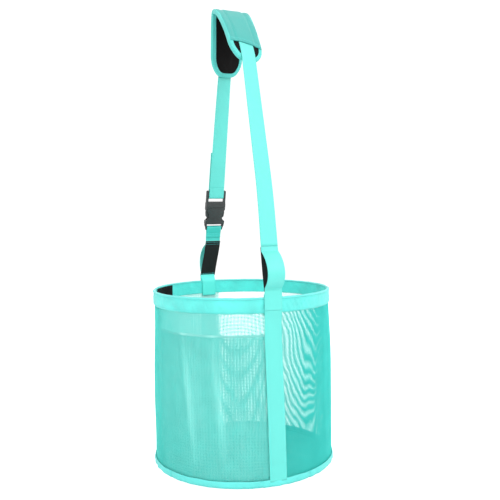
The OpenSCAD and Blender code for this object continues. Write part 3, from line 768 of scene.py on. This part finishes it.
# %% Webbing down the wall and over the rim
STEP = [(BIND_TOP + 0.0003, MESH_R + 0.0009), (BAND_LOW - 0.010, MESH_R + 0.0009),
        (BAND_LOW - 0.0045, MESH_R + 0.0014), (BAND_LOW + 0.0015, BAND_R + 0.0026),
        (BAND_LOW + 0.010, BAND_R + 0.0030), (BAND_TOP - 0.004, BAND_R + 0.0026)]
ASIDE = 0.0066  # how far the webbing stands to the left at the rim
REACH = {"front": 0.200, "rear": 0.085}  # how far up that fades out


def leaned(rings, reach):
    """Webbing near the rim stands a little to the left: x loses up to 7 mm, smoothly less over a reach up."""
    rings = np.array(rings, float)
    rings[..., 0] -= ASIDE * ease((RIM_Z + reach - rings[..., 2]) / reach)
    return rings


def wall_webbing(name, toward, z0, z1, count):
    """Webbing that follows the wall round the bag: x across it becomes the angle x / radius. On its way down
    it comes back to the middle."""
    line = np.array(STEP)
    z = np.linspace(z0, z1, count)
    r = np.interp(z, line[:, 0], line[:, 1]) + 0.0001 * smooth_noise(z * 60, 111)
    r = np.convolve(np.pad(r, 2, mode="edge"), np.ones(5) / 5, "valid")
    o = webbing_outline()
    x = o[None, :, 0] + 0.0004 * smooth_noise(z * 25, 112)[:, None]
    aside = np.sign(toward) * ASIDE * ease((z - BASE_Z) / (z1 - BASE_Z))[:, None]
    tuck = 0.0008 * hump(z, BASE_Z + 0.036, 0.0025)[:, None]
    rings = round_bag(toward + (x + aside) / BAND_R, r[:, None] + o[None, :, 1] - tuck, z[:, None] + 0 * x)
    return rings_object(name, rings)


for name, toward in (("front_strip", -quarter), ("rear_strip", quarter)):
    strip = wall_webbing(name + "_webbing", toward, BIND_TOP - 0.004, FOLD_Z, 90)
    folds(dress(strip, "webbing", "bag", [name]))


def anchor(name, toward, foot, out_sign):
    """Two layers of webbing that meet over the rim: one from the band's outside and one from inside it."""
    r_foot = abs(foot[0] - AXIS_Y)
    outside = rounded([(BAND_R + 0.0030, FOLD_Z - 0.001), (BAND_R + 0.0030, BAND_TOP - 0.003),
                       (BAND_R + 0.0026, RIM_Z + 0.001), (r_foot + 0.0002, FOOT_Z - 0.002),
                       (r_foot - 0.0002, FOOT_Z + 0.003)], 26)
    inside = rounded([(INNER_R - 0.0018, RIM_Z - 0.030), (INNER_R - 0.0016, RIM_Z - 0.012),
                      (INNER_R - 0.0014, RIM_Z - 0.001), (INNER_R + 0.0012, RIM_Z + 0.0032),
                      (r_foot - 0.0022, FOOT_Z - 0.003), (r_foot - 0.0020, FOOT_Z + 0.0025)], 30)
    pieces = []
    for k, line in enumerate((outside, inside)):
        way = unit(np.gradient(line, axis=0))
        normal = np.stack([way[:, 1], -way[:, 0]], -1)
        o = webbing_outline(width=WEB_W - 0.001 * k)
        r = line[:, :1] + normal[:, :1] * o[None, :, 1]
        z = line[:, 1:] + normal[:, 1:] * o[None, :, 1]
        flat = np.zeros(r.shape + (3,))
        share = ease((line[:, 1:] - RIM_Z) / 0.012)[..., None]
        around = round_bag(toward + (o[None, :, 0] + np.sign(toward) * ASIDE) / BAND_R, r, z)
        flat[..., 0] = out_sign * -o[None, :, 0] - ASIDE
        flat[..., 1] = AXIS_Y + out_sign * r
        flat[..., 2] = z
        pieces.append(rings_object(name + ("_webbing", "_tab")[k], around * (1 - share) + flat * share))
    return joined(pieces)


for name, toward, foot, sign in (("front_anchor", -quarter, FRONT_FOOT, -1),
                                 ("rear_anchor", quarter, REAR_FOOT, 1)):
    piece = anchor(name, toward, foot, sign)
    # the rear anchor takes the lighter copy of the webbing: painted light
    dress(piece, "painted light webbing" if sign > 0 else "webbing", None, [name])
    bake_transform(piece)

# %% [markdown]
# ## Belt loops, backing tapes and the strap
# Along each leg of the strap a place is (u, n): u up the webbing from the rim and n outwards. Over
# the shoulder the strap also turns a little about its own length.

# %% Belt loops, backing tapes and the strap
def bezier(points, count):
    """A cubic curve: (1-t)^3 p0 + 3 t (1-t)^2 p1 + 3 t^2 (1-t) p2 + t^3 p3."""
    p = np.asarray(points, float)
    t = np.linspace(0, 1, count)[:, None]
    return (1 - t) ** 3 * p[0] + 3 * t * (1 - t) ** 2 * p[1] + 3 * t * t * (1 - t) * p[2] + t ** 3 * p[3]


LEGS = {"front": (FRONT_FOOT, FRONT_DIR, FRONT_OUT), "rear": (REAR_FOOT, REAR_DIR, REAR_OUT)}
LOOPS = {"front": [(0.006, 0.0005), (0.018, 0.033), (0.052, 0.017), (0.066, 0)],
         "rear": [(0.008, 0), (0.024, 0.027), (0.050, 0.027), (0.066, 0)]}
for side, (foot, ahead, out) in LEGS.items():
    bulge = bezier(LOOPS[side], 40)
    line = np.concatenate([[(0.0012, 0.0)], bulge, [(LOOP_L + 0.0005, 0.0)]])
    line = rounded(line, 70, turns=2)
    loop = rings_object(side + "_belt_loop_webbing", leaned(leg_ribbon(line, foot, ahead, out), REACH[side]))
    dress(loop, "webbing", "strap", [side + "_belt_loop"])
    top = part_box(side + "_backing_tape")[1].z
    tape_end = (top - foot[1]) / ahead[1] - 0.0002
    n = -WEB_T / 2 - TAPE_T / 2 - 0.0001
    tape_line = [(u, n) for u in np.linspace(0.0014, tape_end, 24)]
    tape = leg_ribbon(tape_line, foot, ahead, out, webbing_outline(WEB_W + 0.0006, TAPE_T))
    tape = rings_object(side + "_backing_cloth", leaned(tape, REACH[side]))
    dress(tape, "black", "strap", [side + "_backing_tape"])

front_curve = [CREST, CREST - [0.020, 0], FRONT_END + 0.040 * FRONT_DIR, FRONT_END]
rear_curve = [CREST, CREST + [0.020, 0], REAR_END + 0.040 * REAR_DIR, REAR_END]
FINE = 400
shoulder_yz = np.concatenate([bezier(front_curve, FINE)[::-1], bezier(rear_curve, FINE)[1:]])
shoulder_s = np.concatenate([-np.linspace(0, 1, FINE)[::-1], np.linspace(0, 1, FINE)[1:]])
shoulder_twist = np.where(shoulder_s < 0, FRONT_TWIST * np.sin(-np.pi / 2 * shoulder_s),
                          -REAR_TWIST * np.sin(np.pi / 2 * shoulder_s))
shoulder_way = unit(np.gradient(shoulder_yz, axis=0))
shoulder_l = np.concatenate([[0], np.cumsum(np.linalg.norm(np.diff(shoulder_yz, axis=0), axis=-1))])
CREST_L = shoulder_l[FINE - 1]
shoulder_l = shoulder_l - CREST_L
FRONT_L, REAR_L = shoulder_l[0], shoulder_l[-1]


def over_shoulder(l, x, n):
    """A place over the shoulder: l along the webbing from the crest, x across and n outwards. Below the pad's
    ends the webbing runs straight on."""
    l, x, n = np.broadcast_arrays(*(np.asarray(q, float) for q in (l, x, n)))
    inner = np.clip(l, FRONT_L, REAR_L)
    take = lambda q: np.interp(inner, shoulder_l, q)
    y, z = take(shoulder_yz[:, 0]), take(shoulder_yz[:, 1])
    ty, tz = take(shoulder_way[:, 0]), take(shoulder_way[:, 1])
    size = np.hypot(ty, tz)
    ty, tz = ty / size, tz / size
    twist = take(shoulder_twist)
    y, z = y + (l - inner) * ty, z + (l - inner) * tz
    side = np.stack([np.cos(twist), np.sin(twist) * tz, -np.sin(twist) * ty], -1)
    out = np.stack([np.sin(twist), -np.cos(twist) * tz, np.cos(twist) * ty], -1)
    return np.stack([0 * y, y, z], -1) + side * x[..., None] + out * n[..., None]


def leg_twisted(foot, ahead, out, u, twist, shift, outline):
    """Webbing on a leg that turns about its length on the way up and may lie shifted outwards."""
    yz = foot + u[:, None] * ahead + shift[:, None] * out
    side = np.stack([np.cos(twist), -np.sin(twist) * out[0], -np.sin(twist) * out[1]], -1)
    nrm = np.stack([np.sin(twist), np.cos(twist) * out[0], np.cos(twist) * out[1]], -1)
    centre = np.concatenate([np.zeros((len(u), 1)), yz], 1)
    return centre[:, None] + side[:, None] * outline[None, :, :1] + nrm[:, None] * outline[None, :, 1:]


TWIST_FROM = 0.081  # the front leg lies flat up to here
outline = webbing_outline()
leg_l = np.linalg.norm(FRONT_END - FRONT_FOOT)
u = np.linspace(LOOP_L, leg_l, 60)[:-1]
turn = FRONT_TWIST * np.clip((u - TWIST_FROM) / (leg_l - TWIST_FROM), 0, 1)
lower = leg_twisted(FRONT_FOOT, FRONT_DIR, FRONT_OUT, u, turn, 0 * u, outline)
l = np.linspace(FRONT_L, REAR_L, 90)
upper = over_shoulder(l[:, None], outline[None, :, 0], outline[None, :, 1])
strap = rings_object("shoulder_strap_webbing", leaned(np.concatenate([lower, upper]), REACH["front"]))
dress(strap, "webbing", "strap", ["shoulder_strap"])
print("strap", round(leg_l + REAR_L - FRONT_L, 3), "m from the front rim to the pad's rear end")

# %% [markdown]
# ## Shoulder pad
# Foam in black cloth, an outer cover that passes over the webbing, and tape folded round the whole
# edge. The corners at both ends are cut off.

# %% Shoulder pad
CORNER, CORNER_SHARE = 0.012, 0.17  # how much of the width a cut corner takes, over what share of a half
COVER_SHARE = 0.79  # how much of each half the cover reaches over
SEAM = 0.0048  # from the pad's edge in to its row of stitches


def pad_s(l):
    """How far along the pad a place is, from -1 at its front end to 1 at its rear end."""
    return np.interp(l, shoulder_l, shoulder_s)


def half_w(l):
    """Half the pad's width: it narrows over the last share of each half, and the corners are round,
    which takes another (1 - sqrt(1 - t^2)) of 4 mm over the last third of that."""
    cut = np.clip((np.abs(pad_s(l)) - 1 + CORNER_SHARE) / CORNER_SHARE, 0, 1)
    t = np.clip((cut - 0.65) / 0.35, 0, 1)
    return PAD_W / 2 - CORNER * ease(cut) ** 0.85 - 0.004 * (1 - np.sqrt(1 - 0.98 * t * t))


def foam_outline(l):
    """The foam's section: soft edges, and its top sinks under the webbing at both ends."""
    t = np.linspace(0, 2 * np.pi, 41)[:-1][None]
    h = half_w(l) - 0.0008
    power = lambda q, e: np.sign(q) * np.abs(q) ** e
    x = h * power(np.cos(t), 0.28)
    mid, half = (PAD_HIGH + PAD_LOW) / 2, (PAD_HIGH - PAD_LOW) / 2
    n = mid + half * power(np.sin(t), 0.55)
    sink = ease((np.abs(pad_s(l)) - 0.90) / 0.08)
    n = np.where(n > mid, n - sink * 0.0011 * (n - mid) / half, n)
    return x, n


l = np.linspace(FRONT_L + 0.0006, REAR_L - 0.0006, 76)[:, None]
x, n = foam_outline(l)
foam = rings_object("pad_foam", over_shoulder(l, x, n))


def swollen(obj, voxel=0.0035, pressure=4.0, cap=0.0016, frames=16):
    """Lets the cloth under the foam swell: a short cloth simulation under pressure and without gravity. Each
    point's movement is capped, fades out towards the edge tape and is left out on the side of the cover."""
    scene = bpy.context.scene
    obj.data.remesh_voxel_size = voxel
    with bpy.context.temp_override(active_object=obj, object=obj, selected_objects=[obj]):
        bpy.ops.object.voxel_remesh()
    start = np.empty(len(obj.data.vertices) * 3, np.float32)
    obj.data.vertices.foreach_get("co", start)
    cloth = obj.modifiers.new("swell", "CLOTH")
    s = cloth.settings
    s.quality = 5
    s.mass = 0.2
    s.use_pressure = True
    s.uniform_pressure_force = pressure
    s.tension_stiffness = s.compression_stiffness = 30
    s.effector_weights.gravity = 0
    cloth.point_cache.frame_start, cloth.point_cache.frame_end = 1, frames
    for f in range(1, frames + 1):
        scene.frame_set(f)
    done = obj.evaluated_get(bpy.context.evaluated_depsgraph_get()).to_mesh()
    end = np.empty(len(done.vertices) * 3, np.float32)
    done.vertices.foreach_get("co", end)
    obj.modifiers.remove(cloth)
    scene.frame_set(1)
    start, move = start.reshape(-1, 3), (end - start).reshape(-1, 3)
    nearest = np.argmin(np.linalg.norm(start[:, None, 1:] - shoulder_yz[None, ::4], axis=-1), axis=1) * 4
    across = shoulder_way[nearest][:, ::-1] * [1, -1]
    below = np.einsum("ij,ij->i", start[:, 1:] - shoulder_yz[nearest], across * np.sign(across[:, 1:]))
    room = ease((0.0285 - np.abs(start[:, 0])) / 0.012) * ease((0.97 - np.abs(shoulder_s[nearest])) / 0.1)
    room = room * (below < (PAD_HIGH + PAD_LOW) / 2)
    size = np.linalg.norm(move, axis=1)
    move *= (room * np.minimum(1, cap / np.maximum(size, 1e-9)))[:, None]
    obj.data.vertices.foreach_set("co", (start + move).astype(np.float32).ravel())
    obj.data.polygons.foreach_set("use_smooth", np.ones(len(obj.data.polygons), bool))
    obj.data.update()
    print("foam cloth moved up to", round(float((room * np.minimum(size, cap)).max()) * 1000, 2), "mm")
    return obj


swollen(foam)
dress(foam, "foam cloth", "strap", ["pad_base"])


def cover_sheet():
    """The cover's height over the foam: flat at the sides and raised over the webbing in the middle."""
    l0, l1 = np.interp([-COVER_SHARE, COVER_SHARE], shoulder_s, shoulder_l)
    l = np.linspace(l0, l1, 90)[:, None]
    x = np.linspace(-1, 1, 41)[None] * (PAD_W / 2 - 0.0006)
    over = ease((0.0215 - np.abs(x)) / 0.006)
    side = PAD_HIGH + 0.0004
    base = side + (WEB_T / 2 + 0.0004 - side) * over
    puff = 0.0012 * hump(np.abs(x), 0.027, 0.006) * (1 - 0.3 * smooth_noise(l * 60, 121))
    tuck = -0.0006 * ease((np.abs(x) - 0.0325) / 0.0035)
    base = base + puff + tuck + 0.0003 * smooth_noise(l * 45 + x * 30, 122)
    hem = 0.0005 * (hump(l, l0 + 0.0035, 0.0012) + hump(l, l1 - 0.0035, 0.0012))
    bow = 0.004 * (1 - (x / (PAD_W / 2)) ** 2)
    ll = l + bow * np.clip((l - (l0 + l1) / 2) / ((l1 - l0) / 2), -1, 1) * -1
    low = over_shoulder(ll, x, base)
    high = over_shoulder(ll, x, base + COVER_T * 0.8 + hem)
    return rings_object("pad_cover_cloth", np.concatenate([high, low[:, ::-1]], 1)), ll, x, base


cover, cover_l, cover_x, cover_n = cover_sheet()
dress(cover, "cover", "strap", ["pad_cover"])


def pad_edge_line(count=340):
    """The pad's edge, once round: (l, x) and the way out of the pad in the same terms."""
    l = np.linspace(FRONT_L, REAR_L, 160)
    h = half_w(l)
    end_h = h[-1]
    across = np.linspace(-end_h, end_h, 20)[1:-1]
    line = np.concatenate([np.stack([l, -h], 1), np.stack([np.full(18, REAR_L), across], 1),
                           np.stack([l[::-1], h[::-1]], 1), np.stack([np.full(18, FRONT_L), -across], 1)])
    line = resample(np.concatenate([line, line[:1]]), count + 1)[:-1]
    for _ in range(34):
        line = (np.roll(line, 1, 0) + 2 * line + np.roll(line, -1, 0)) / 4
    way = unit(np.roll(line, -1, 0) - np.roll(line, 1, 0))
    return line, np.stack([way[:, 1], -way[:, 0]], -1)


edge_line, edge_out = pad_edge_line()
if np.sum(edge_out * (edge_line - edge_line.mean(0))) < 0:
    edge_out = -edge_out


def edging_section(wrap=0.0062, thick=0.0008):
    """A U round the pad's edge: (e, n) with e outwards. It lies on both faces and bulges at the side."""
    top, low = PAD_HIGH + 0.0011, PAD_LOW - 0.0001
    outer = rounded([(-wrap, top + thick), (-0.0022, top + thick), (0.0011, top + thick * 0.4),
                     (0.0015, (top + low) / 2), (0.0011, low - thick * 0.4), (-0.0022, low - thick),
                     (-wrap, low - thick)], 19, 2)
    inner = rounded([(-wrap, low), (-0.0024, low), (0.0002, low + 0.0008), (0.0004, (top + low) / 2),
                     (0.0002, top - 0.0008), (-0.0024, top), (-wrap, top)], 15, 2)
    return np.concatenate([outer, inner])


section = edging_section()
ends = ease((np.abs(pad_s(edge_line[:, 0])) - 0.76) / 0.06)[:, None]
under = (ease((0.019 - np.abs(edge_line[:, 1:2])) / 0.003)
         * ease((np.abs(pad_s(edge_line[:, :1])) - 0.9) / 0.05))
e, n = section[None, :, 0], section[None, :, 1]
n = np.where(n > -0.003, n - 0.0011 * ends - 0.0011 * under, n)
place_l = edge_line[:, :1] + edge_out[:, :1] * e
place_x = edge_line[:, 1:] + edge_out[:, 1:] * e
edging = rings_object("pad_edge_fold", over_shoulder(place_l, place_x, n), closed=True)
dress(edging, "pad tape", "strap", ["pad_edging"])
print("pad", len(foam.data.polygons) + len(cover.data.polygons) + len(edging.data.polygons), "faces")

# %% [markdown]
# ## Rear leg, buckle and adjuster
# The lower webbing turns round the bar of the female half and is sewn to itself. The upper webbing
# comes down from the pad to the ladder of the male half, where the loose end turns round the bar.

# %% Rear leg, buckle and adjuster
WRAP_R = 0.0023  # from a bar's middle to the webbing round it
LAYER = WRAP_R + WEB_T / 2
MID_BAR, MALE_TOP = 0.0216, 0.0377  # up the leg from the middle of the buckle
SHELL_BAR = -0.0409
buckle_foot = REAR_FOOT + BUCKLE_AT * REAR_DIR + WEB_T / 2 * REAR_OUT


def at_bar(v, way, start, end):
    """A line of webbing round a bar: up to it on one side, half round it the way given by 1 or -1 and
    back on the other side, as (v, n)."""
    t = np.linspace(0, np.pi, 13)
    arc = np.stack([v + way * LAYER * np.sin(t), -LAYER * np.cos(t)], -1)
    return np.concatenate([start, arc, end])


lower_line = at_bar(SHELL_BAR, 1,
                    [(-0.0610, -WEB_T * 0.55), (-0.0560, -WEB_T * 0.55),
                     (SHELL_BAR - 0.0110, -WEB_T * 0.6), (SHELL_BAR - 0.006, -0.0022)],
                    [(SHELL_BAR - 0.006, 0.0022), (SHELL_BAR - 0.0110, WEB_T * 0.6),
                     (-0.0600, WEB_T * 0.5), (-0.0680, -0.0008)])
lower_line = rounded(lower_line, 110, turns=1)


def turned(name, line):
    """Webbing along a line (v, n) by the buckle that may turn back on itself."""
    outline = webbing_outline()
    yz = buckle_foot + line[:, :1] * REAR_DIR + line[:, 1:] * REAR_OUT
    way = unit(np.gradient(yz, axis=0))
    nrm = np.stack([-way[:, 1], way[:, 0]], -1)
    ring = np.zeros((len(line), len(outline), 3))
    ring[..., 0] = outline[None, :, 0]
    ring[..., 1:] = yz[:, None] + nrm[:, None] * outline[None, :, 1:]
    return rings_object(name, leaned(ring, REACH["rear"]))


lower_leg = turned("rear_lower_webbing", lower_line)
# the tab under the buckle takes the darker copy of the webbing: painted shade of the buckle's shadow
dress(lower_leg, "painted shade webbing", "strap", ["rear_lower_strap"])

adjust_line = at_bar(MID_BAR, -1, [(MALE_TOP + 0.003, -LAYER), (MID_BAR + 0.004, -LAYER)],
                     [(MID_BAR + 0.004, LAYER), (MALE_TOP + 0.010, LAYER), (MALE_TOP + 0.030, LAYER + 0.0008),
                      (MALE_TOP + 0.055, LAYER + 0.0004), (MALE_TOP + 0.070, LAYER + 0.0014)])
adjust_line = rounded(adjust_line, 120, turns=1)
loose_end = turned("adjuster_loose_end", adjust_line)
dress(loose_end, "webbing", "male_buckle", ["adjuster_webbing"])

foot = buckle_foot + (MALE_TOP + 0.002) * REAR_DIR - LAYER * REAR_OUT
way = unit(REAR_END - foot)
nrm = np.array([way[1], -way[0]])
length = np.linalg.norm(REAR_END - foot)
u = np.linspace(0, length - 0.0004, 70)
twist = -REAR_TWIST * u / length
bow = 0.0006 * np.sin(u / length * np.pi)
leg = rings_object("rear_leg_webbing", leg_twisted(foot, way, nrm, u, twist, bow, webbing_outline()))
dress(leg, "webbing", None, ["rear_strap_leg"])
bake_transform(leg)


def moulded(node, body, radius):
    """A CAD solid with rounded moulded edges: its copy is merged, then bevelled where faces meet at
    more than 40 degrees."""
    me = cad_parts[node].data.copy()
    obj = bpy.data.objects.new(node + "_moulded", me)
    bpy.context.scene.collection.objects.link(obj)
    bm = bmesh.new()
    bm.from_mesh(me)
    bmesh.ops.remove_doubles(bm, verts=bm.verts, dist=2e-6)
    bmesh.ops.dissolve_limit(bm, angle_limit=math.radians(1.5), verts=bm.verts, edges=bm.edges)
    bm.to_mesh(me)
    bm.free()
    me.polygons.foreach_set("use_smooth", np.ones(len(me.polygons), bool))
    me.set_sharp_from_angle(angle=math.radians(32))
    b = obj.modifiers.new("soft edges", "BEVEL")
    b.width, b.segments = radius, 2
    b.limit_method, b.angle_limit = "ANGLE", math.radians(40)
    b.use_clamp_overlap = True
    dress(obj, "plastic", body, [node])
    return obj


for node, body, radius in (("buckle_female", "strap", 0.0007), ("buckle_male", "male_buckle", 0.0004),
                           ("left_prong", "left_button", 0.0004), ("right_prong", "right_button", 0.0004)):
    moulded(node, body, radius)
print("buckle made")

# %% [markdown]
# ## Stitching
# Rows of stitches hold the tapes, hems and webbing. Each row lies on its cloth.

# %% Stitching
rows_bag, rows_strap, rows_base, rows_fold = [], [], [], []


def outward(angle):
    """The way out from the bag's axis: (cos angle, sin angle, 0)."""
    return np.stack([np.cos(angle), np.sin(angle), 0 * angle], -1)


def ring_row(rows, r, z, sign=1.0):
    """A row of stitches round the bag at a radius and height."""
    angle = np.linspace(0.0, 2 * np.pi, 400)
    rows.append(stitches(round_bag(angle, r, z), sign * outward(angle)))


ring_row(rows_bag, BAND_R + 0.0014, BAND_LOW + 0.0030)
ring_row(rows_bag, BAND_R + 0.0009, BAND_TOP - 0.0030)
ring_row(rows_bag, INNER_R - 0.0003, BAND_LOW + 0.0030, sign=-1.0)
ring_row(rows_bag, INNER_R - 0.0003, BAND_TOP - 0.0030, sign=-1.0)
ring_row(rows_base, MESH_R + 0.0014, BIND_TOP - 0.0025)


def leg_row(rows, leg, u, n, sign):
    """A row of stitches straight across the webbing at a height u up a leg."""
    foot, ahead, out = LEGS[leg]
    width = WEB_W - 0.004
    x = np.linspace(-width / 2, width / 2, 30)
    yz = foot + u * ahead + n * out
    line = leaned(np.stack([x, np.full(30, yz[0]), np.full(30, yz[1])], -1), REACH[leg])
    rows.append(stitches(line, sign * np.array([0, out[0], out[1]]), pitch=0.0028))


for toward in (-quarter, quarter):
    for side in (-1, 1):
        z = np.linspace(BIND_TOP + 0.002, FOLD_Z - 0.002, 200)
        steps = np.array(STEP)
        r = np.interp(z, steps[:, 0], steps[:, 1]) + WEB_T / 2
        aside = np.sign(toward) * ASIDE * ease((z - BASE_Z) / (FOLD_Z - BASE_Z))
        angle = toward + (side * (WEB_W / 2 - 0.003) + aside) / BAND_R
        rows_fold.append(stitches(round_bag(angle, r, z), outward(angle)))
z = np.linspace(RIM_Z - 0.029, RIM_Z - 0.004, 20)
angle = quarter + ASIDE / BAND_R + 0 * z
rows_bag.append(stitches(round_bag(angle, INNER_R - 0.0026, z), -outward(angle)))

back_n = -WEB_T / 2 - TAPE_T - 0.0002
for leg_name in LEGS:
    for at in (0.0045, 0.0060, LOOP_L - 0.0070, LOOP_L - 0.0030):
        leg_row(rows_strap, leg_name, at, back_n, -1)
    for at in (LOOP_L - 0.0065, LOOP_L - 0.0025):
        leg_row(rows_strap, leg_name, at, WEB_T / 2, 1)
for v in (-0.0530, -0.0570):
    leg_row(rows_strap, "rear", BUCKLE_AT + v, WEB_T / 2 - WEB_T * 1.1, -1)
    leg_row(rows_strap, "rear", BUCKLE_AT + v, WEB_T * 1.55, 1)

for sign in (1, -1):
    top = PAD_HIGH + 0.0019 if sign > 0 else PAD_LOW - 0.0009
    lift = (-0.0011 * ends - 0.0011 * under)[:, 0] if sign > 0 else 0 * ends[:, 0]
    ll = edge_line[:, 0] - edge_out[:, 0] * SEAM
    xx = edge_line[:, 1] - edge_out[:, 1] * SEAM
    line = over_shoulder(ll, xx, top + lift)
    out = over_shoulder(ll, xx, top + 0.01) - over_shoulder(ll, xx, top)
    keep = np.ones(len(ll), bool) if sign < 0 else (np.abs(xx) > 0.0165)
    for part in np.split(np.arange(len(ll)), np.where(np.diff(keep.astype(int)) != 0)[0] + 1):
        if keep[part[0]] and len(part) > 4:
            rows_strap.append(stitches(line[part], sign * unit(out[part])))
for row in (3, -4):
    ll, nn = cover_l[row], cover_n[row] + COVER_T * 0.8
    line = over_shoulder(ll, cover_x[0], nn)
    rows_strap.append(stitches(line, unit(over_shoulder(ll, cover_x[0], nn + 0.01) - line)))

for name, rows, body in (("rim_stitches", rows_bag, "bag"), ("strap_stitches", rows_strap, "strap"),
                         ("base_stitches", rows_base, "base"), ("strip_stitches", rows_fold, "bag")):
    piece = rings_object(name, np.concatenate(rows))
    dress(piece, "thread", body)
    if rows is rows_fold:
        folds(piece)
    print(name, sum(len(r) for r in rows), "stitches")

# %% [markdown]
# ## Floor, light and camera
# A white floor and a white surround, a large soft light in front and above, and a camera a little
# above the middle of the bag, turned towards its front left.

# %% Floor, light and camera
bpy.ops.mesh.primitive_circle_add(vertices=128, radius=3.0, fill_type="NGON",
                                  location=(0, AXIS_Y, BASE_Z - 0.0006))
floor = bpy.context.object
floor.name = "floor"
ground = bpy.data.materials.new("floor")
ground.use_nodes = True
bsdf = ground.node_tree.nodes["Principled BSDF"]
bsdf.inputs["Base Color"].default_value = (0.93, 0.93, 0.93, 1)
bsdf.inputs["Roughness"].default_value = 0.9
bsdf.inputs["Specular IOR Level"].default_value = 0.1
bsdf.inputs["Emission Color"].default_value = (1, 1, 1, 1)
tree = ground.node_tree
glow = tree.nodes.new("ShaderNodeLightPath").outputs["Is Camera Ray"]
put(tree, bsdf.inputs["Emission Strength"], math_node(tree, "MULTIPLY", glow, 0.8))
floor.data.materials.append(ground)

world = bpy.data.worlds.new("surround")
world.use_nodes = True
world.node_tree.nodes["Background"].inputs["Color"].default_value = (1, 1, 1, 1)
tree = world.node_tree
seen = tree.nodes.new("ShaderNodeLightPath")
way_up = tree.nodes.new("ShaderNodeTexCoord").outputs["Generated"]
height = tree.nodes.new("ShaderNodeSeparateXYZ")
put(tree, height.inputs[0], way_up)
sky = math_node(tree, "ADD", 1.10, math_node(tree, "MULTIPLY", height.outputs[2], 0.25))
level = math_node(tree, "MAXIMUM", sky, seen.outputs["Is Camera Ray"])
put(tree, tree.nodes["Background"].inputs["Strength"], level)
bpy.context.scene.world = world
bpy.context.scene.view_settings.view_transform = "Standard"


def soft_light(name, place, target, size, power):
    """A square area light that looks at a target."""
    data = bpy.data.lights.new(name, "AREA")
    data.shape, data.size, data.energy = "SQUARE", size, power
    obj = bpy.data.objects.new(name, data)
    bpy.context.scene.collection.objects.link(obj)
    obj.location = place
    obj.rotation_euler = (Vector(target) - Vector(place)).to_track_quat("-Z", "Y").to_euler()
    return obj


soft_light("key", (0.75, -1.75, 1.35), (0, -0.05, -0.40), 1.3, 25)
soft_light("fill", (-1.9, -1.5, 0.5), (0, 0, -0.5), 1.2, 7)

yaw, pitch, roll = math.radians(22.4), math.radians(3.06), math.radians(0.7)
forward = Vector((math.sin(yaw) * math.cos(pitch), math.cos(yaw) * math.cos(pitch), -math.sin(pitch)))
right = forward.cross(Vector((0, 0, 1))).normalized()
up = right.cross(forward)
right, up = right * math.cos(roll) - up * math.sin(roll), up * math.cos(roll) + right * math.sin(roll)
camera_data = bpy.data.cameras.new("camera")
camera_data.lens, camera_data.sensor_width = 49.05, 36
camera = bpy.data.objects.new("camera", camera_data)
bpy.context.scene.collection.objects.link(camera)
turn3 = Matrix((right, up, -forward)).transposed()
camera.matrix_world = Matrix.Translation((-0.4520, -1.1774, -0.3598)) @ turn3.to_4x4()
bpy.context.scene.camera = camera
